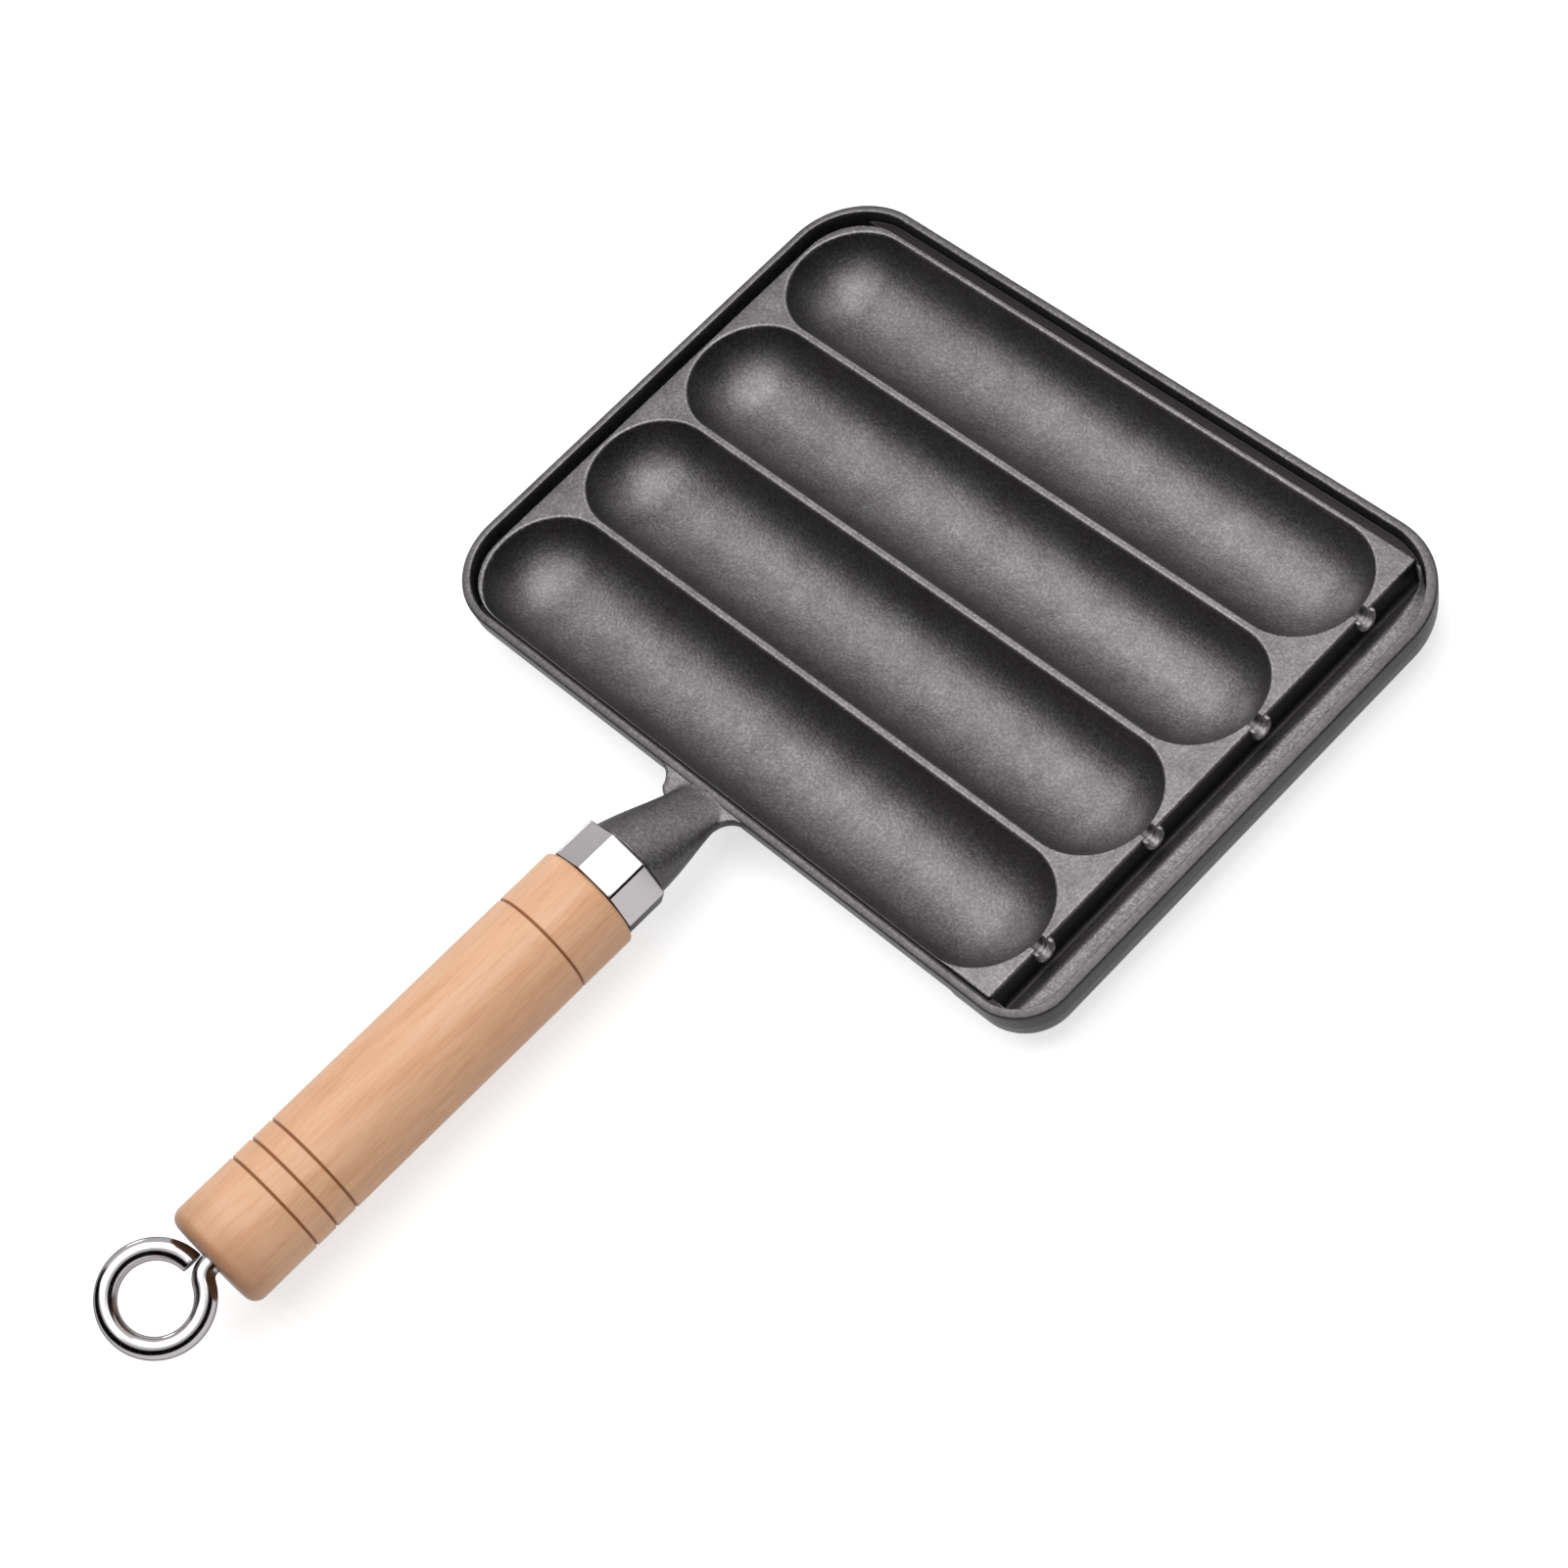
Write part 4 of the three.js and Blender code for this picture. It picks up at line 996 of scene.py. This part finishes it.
def ferrule_grid():
    """Rows: along the outside with rounded ends, then back through the round bore."""
    angle = np.linspace(0, 2 * np.pi, 192, endpoint=False)
    q = np.linspace(0, np.pi / 2, 6)
    edge = [(BEVEL * (1 - np.cos(t)), BEVEL * (1 - np.sin(t))) for t in q]
    edge += [(FERRULE_LENGTH - y, inset) for y, inset in edge[::-1]]
    mouth = [(FERRULE_LENGTH, FERRULE_BORE + FERRULE_MOUTH), (FERRULE_LENGTH - FERRULE_MOUTH, FERRULE_BORE),
             (FERRULE_MOUTH, FERRULE_BORE), (0.0, FERRULE_BORE + FERRULE_MOUTH)]
    rows = [(y, octagon(angle, inset)) for y, inset in edge]
    rows += [(y, np.full_like(angle, r)) for y, r in mouth]
    turn = np.pi / 2 - ROLL + angle
    rings = [handle_point(r * np.cos(turn), FERRULE_FRONT + y, r * np.sin(turn)) for y, r in rows]
    return np.stack(rings + rings[:1])


grids = [(ferrule_grid(), False, 0.0)]
piece_from_grids("plated_ferrule", grids, steel, "handle", "ferrule")

# %% [markdown]
# ## The eye bolt
# The bolt is one length of wire: a rod through the grip, a small bend, and an eye. The rod screws into the
# neck. A wire is a circle carried along a path, and the path is flat, so its frame needs only the heading in
# that plane.

# %% Path of the wire
WIRE_RADIUS, TIP, BEND_START = 2.9, 19.8, 170.5
EYE_RADIUS, EYE_OFFSET, BEND_RADIUS = 12.05, 3.2, 4.5
TIP_CHAMFER, END_ROUND = 0.8, 0.25
ROD_STOP = BEND_START - 6


def wire_path():
    """Path: a line, an arc of BEND_RADIUS, and an arc of EYE_RADIUS. The heading turns steadily along each
    arc. The radius shrinks to 0 at the chamfered tip and at the rounded end."""
    bend = np.arccos((BEND_RADIUS + EYE_OFFSET) / (BEND_RADIUS + EYE_RADIUS))
    eye_x = BEND_RADIUS - (BEND_RADIUS + EYE_RADIUS) * np.cos(bend)
    eye_y = BEND_START + (BEND_RADIUS + EYE_RADIUS) * np.sin(bend)
    t = np.linspace(0, bend, 14)[:-1]
    q = np.linspace(0, np.pi / 2, 5)
    end = 1.5 * np.pi
    rounded = end - END_ROUND * (1 - np.sin(q)) / EYE_RADIUS
    loop = np.concatenate([np.linspace(-bend, rounded[0], 110)[:-1], rounded, [end]])
    rod = np.array([TIP, TIP, TIP + TIP_CHAMFER, ROD_STOP])
    x = np.concatenate([np.zeros(4), BEND_RADIUS * (1 - np.cos(t)), eye_x + EYE_RADIUS * np.cos(loop)])
    y = np.concatenate([rod, BEND_START + BEND_RADIUS * np.sin(t), eye_y + EYE_RADIUS * np.sin(loop)])
    radius = np.full(len(x), WIRE_RADIUS)
    radius[:2] = 0.0, WIRE_RADIUS - TIP_CHAMFER
    radius[-6:] = *(WIRE_RADIUS - END_ROUND * (1 - np.cos(q))), 0.0
    return x, y, np.concatenate([np.zeros(4), t, -loop]), radius


print("the path has", len(wire_path()[0]), "points")

# %% [markdown]
# ### Circles along the path
# Each circle stands square to the path. The whole eye is turned about the handle's axis, as in the picture.

# %% Eye bolt
def eye_bolt_grid():
    """Points path + radius (cos a across + sin a up), with across square to the heading in the path's plane,
    then turned about the axis."""
    x, y, heading, radius = [values[:, None] for values in wire_path()]
    a = np.linspace(0, 2 * np.pi, 32, endpoint=False)
    across = -radius * np.cos(a)
    flat_x, along, up = x + across * np.cos(heading), y - across * np.sin(heading), radius * np.sin(a)
    spin = np.pi - ROLL
    side, height = flat_x * np.cos(spin) + up * np.sin(spin), -flat_x * np.sin(spin) + up * np.cos(spin)
    return handle_point(-side, along, height)


grids = [(eye_bolt_grid(), False, 0.0)]
piece_from_grids("plated_eye_bolt", grids, steel, "bolt", "eye_bolt")

# %% [markdown]
# ## The floor
# The pan was photographed on white. The floor is white to the camera and in reflections, but it lights the
# pan only gently, so that the lamps shape it. Near the pan it glows less than white, so that it keeps the
# shadow; further out, where the lamps don't reach, it glows more.

# %% Floor
FLOOR_HALF, FLOOR_DROP = 4.0, 0.0002
GLOW_NEAR, GLOW_FAR = (0.4, 0.62), (1.4, 1.0)


def seen_directly(tree):
    """1 for rays that the camera sees, straight, mirrored or through glass, and 0 for those that only
    light."""
    path = add(tree, "ShaderNodeLightPath").outputs
    greater = {"operation": "MAXIMUM"}
    seen = add(tree, "ShaderNodeMath", greater, i0=path["Is Camera Ray"], i1=path["Is Glossy Ray"])
    seen = add(tree, "ShaderNodeMath", greater, i0=seen.outputs[0], i1=path["Is Transmission Ray"])
    return seen.outputs[0]


def white_floor():
    """White paper, plus a glow for seen rays that rises with the distance from the middle."""
    material, tree = new_material("White paper floor")
    paper = add(tree, "ShaderNodeBsdfDiffuse", Color=linear("#cccccc"))
    place = add(tree, "ShaderNodeTexCoord").outputs["Object"]
    away = add(tree, "ShaderNodeVectorMath", {"operation": "LENGTH"}, i0=place).outputs["Value"]
    rise = add(tree, "ShaderNodeMapRange", Value=away, i1=GLOW_NEAR[0], i2=GLOW_FAR[0],
               i3=GLOW_NEAR[1], i4=GLOW_FAR[1])
    glow = add(tree, "ShaderNodeEmission", Color=linear("#ffffff"), Strength=rise.outputs["Result"])
    both = add(tree, "ShaderNodeAddShader", i0=paper.outputs[0], i1=glow.outputs[0])
    mixed = add(tree, "ShaderNodeMixShader", Fac=seen_directly(tree), i1=paper.outputs[0], i2=both.outputs[0])
    add(tree, "ShaderNodeOutputMaterial", Surface=mixed.outputs[0])
    return material


corners = FLOOR_HALF * np.array([[-1, -1, 0], [1, -1, 0], [1, 1, 0], [-1, 1, 0]])
sheet = bpy.data.meshes.new("floor")
sheet.from_pydata(corners.tolist(), [], [(0, 1, 2, 3)])
sheet.materials.append(white_floor())
floor = bpy.data.objects.new("floor", sheet)
floor.location.z = -FLOOR_DROP
bpy.context.collection.objects.link(floor)
print("made the floor,", 2 * FLOOR_HALF, "m wide")

# %% [markdown]
# ## The room
# A white room could light the pan by itself, but light from all sides flattens dark iron. So the world is
# white to the camera and in reflections, and gives only a little light.

# %% World
world = bpy.data.worlds.new("studio")
bpy.context.scene.world = world
world.use_nodes = True
tree = world.node_tree
tree.nodes.clear()
dim = add(tree, "ShaderNodeBackground", Color=linear("#ffffff"), Strength=0.15)
white = add(tree, "ShaderNodeBackground", Color=linear("#ffffff"), Strength=1.0)
mixed = add(tree, "ShaderNodeMixShader", Fac=seen_directly(tree), i1=dim.outputs[0], i2=white.outputs[0])
add(tree, "ShaderNodeOutputWorld", Surface=mixed.outputs[0])
print("made the world", world.name)

# %% [markdown]
# ## Lamps
# One broad softbox overhead gives the soft light in the troughs. Smaller ones stand where the polished steel
# and the curved iron mirror them to the camera. The fill lamp lightens the near sides and is not mirrored.

# %% Lamps
LAMP_DISTANCE = 1.0
LAMP_AIM = (0.0, shift[1] * MM, 0.02)
# Name, direction from the pan, size in metres, power in watts, and whether metal mirrors it.
LAMPS = [("top_softbox", (-0.16, -0.16, 0.97), 1.1, 9.6, True),
         ("high_lamp", (0.353, 0.103, 0.914), 0.34, 1.2, True),
         ("cap_lamp", (-0.17, 0.4, 0.9), 0.35, 1.2, True),
         ("side_lamp", (-0.99, 0.1, 0.07), 0.25, 1.2, True),
         ("fill_lamp", (0.75, -0.25, 0.61), 0.8, 2.2, False)]


def softbox(name, aim, direction, size, power, mirrored):
    """A square lamp at LAMP_DISTANCE along direction from its aim, facing it."""
    lamp = bpy.data.lights.new(name, "AREA")
    lamp.shape = "SQUARE"
    lamp.size = size
    lamp.energy = power
    back = np.array(direction) / np.linalg.norm(direction)
    right = np.cross([0, 1, 0], back)
    right /= np.linalg.norm(right)
    turn = np.eye(4)
    turn[:3, 0], turn[:3, 1], turn[:3, 2] = right, np.cross(back, right), back
    turn[:3, 3] = np.array(aim) + LAMP_DISTANCE * back
    obj = bpy.data.objects.new(name, lamp)
    obj.matrix_world = Matrix(turn.tolist())
    obj.visible_glossy = mirrored
    bpy.context.collection.objects.link(obj)


for name, direction, size, power, mirrored in LAMPS:
    softbox(name, LAMP_AIM, direction, size, power, mirrored)
print("lamps:", [light.name for light in bpy.data.lights])

# %% [markdown]
# ## Black cards
# In an all-white room polished metal and dark iron lose their edges. Photographers stand black cards just
# outside the picture, so that the metal has something dark to mirror. Here one bent wall does that. Only
# reflections see it: it throws no shadow and is not in the picture.

# %% Dark cards
CARD_RADIUS, CARD_HEIGHT = 1.2, 1.25
CARD_FIRST, CARD_LAST = -160, 60


def dark_cards():
    """A bent wall of black card on the handle's and the gutter's side: points (r cos t, r sin t, height)."""
    t = np.radians(np.linspace(CARD_FIRST, CARD_LAST, 36))
    foot = np.stack([CARD_RADIUS * np.cos(t), CARD_RADIUS * np.sin(t), np.zeros_like(t)], axis=-1)
    points = np.concatenate([foot, foot + [0, 0, CARD_HEIGHT]])
    mesh = bpy.data.meshes.new("dark_cards")
    mesh.from_pydata(points.tolist(), [], quads_of(2, len(t), 0, False).tolist())
    material, tree = new_material("Black card")
    card = add(tree, "ShaderNodeBsdfDiffuse", Color=linear("#0a0a0a"))
    add(tree, "ShaderNodeOutputMaterial", Surface=card.outputs[0])
    mesh.materials.append(material)
    cards = bpy.data.objects.new("dark_cards", mesh)
    bpy.context.collection.objects.link(cards)
    cards.visible_camera = False
    cards.visible_diffuse = False
    cards.visible_shadow = False
    cards.visible_transmission = False
    return cards


print("made", dark_cards().name)

# %% [markdown]
# ## The camera
# The camera stands where the picture was taken from. Its direction, its roll, its distance and its lens were
# worked out from the outline of the pan and the handle in the picture, so the render can be laid over it.

# %% Camera
AZIMUTH, ELEVATION, CAMERA_ROLL = np.radians([67.426, 55.097, -25.92])
PIXELS, FOCAL_PIXELS, SENSOR = 1601, 3700.0, 36.0
OFFSET = np.array([38.072, -54.252, 940.602])


def photo_camera():
    """Looks along -d, with d from azimuth and elevation, rolled about that axis. OFFSET is the pan's middle
    at rim height in the camera's own axes, right, down and ahead, in millimetres."""
    level = np.cos(ELEVATION)
    d = np.array([np.sin(AZIMUTH) * level, -np.cos(AZIMUTH) * level, np.sin(ELEVATION)])
    right = np.cross(-d, [0, 0, 1])
    right /= np.linalg.norm(right)
    up = np.cross(right, -d)
    right, up = (np.cos(CAMERA_ROLL) * right + np.sin(CAMERA_ROLL) * up,
                 np.cos(CAMERA_ROLL) * up - np.sin(CAMERA_ROLL) * right)
    middle = shift + [0, 0, RIM_TOP]
    turn = np.eye(4)
    turn[:3, 0], turn[:3, 1], turn[:3, 2] = right, up, d
    turn[:3, 3] = (middle - OFFSET[0] * right + OFFSET[1] * up + OFFSET[2] * d) * MM
    lens = bpy.data.cameras.new("photo_camera")
    lens.sensor_width = SENSOR
    lens.lens = FOCAL_PIXELS / PIXELS * SENSOR
    camera = bpy.data.objects.new("photo_camera", lens)
    camera.matrix_world = Matrix(turn.tolist())
    bpy.context.collection.objects.link(camera)
    return camera


scene = bpy.context.scene
scene.camera = photo_camera()
scene.view_settings.view_transform = "Standard"
print("camera at", np.round(scene.camera.matrix_world.translation, 4))
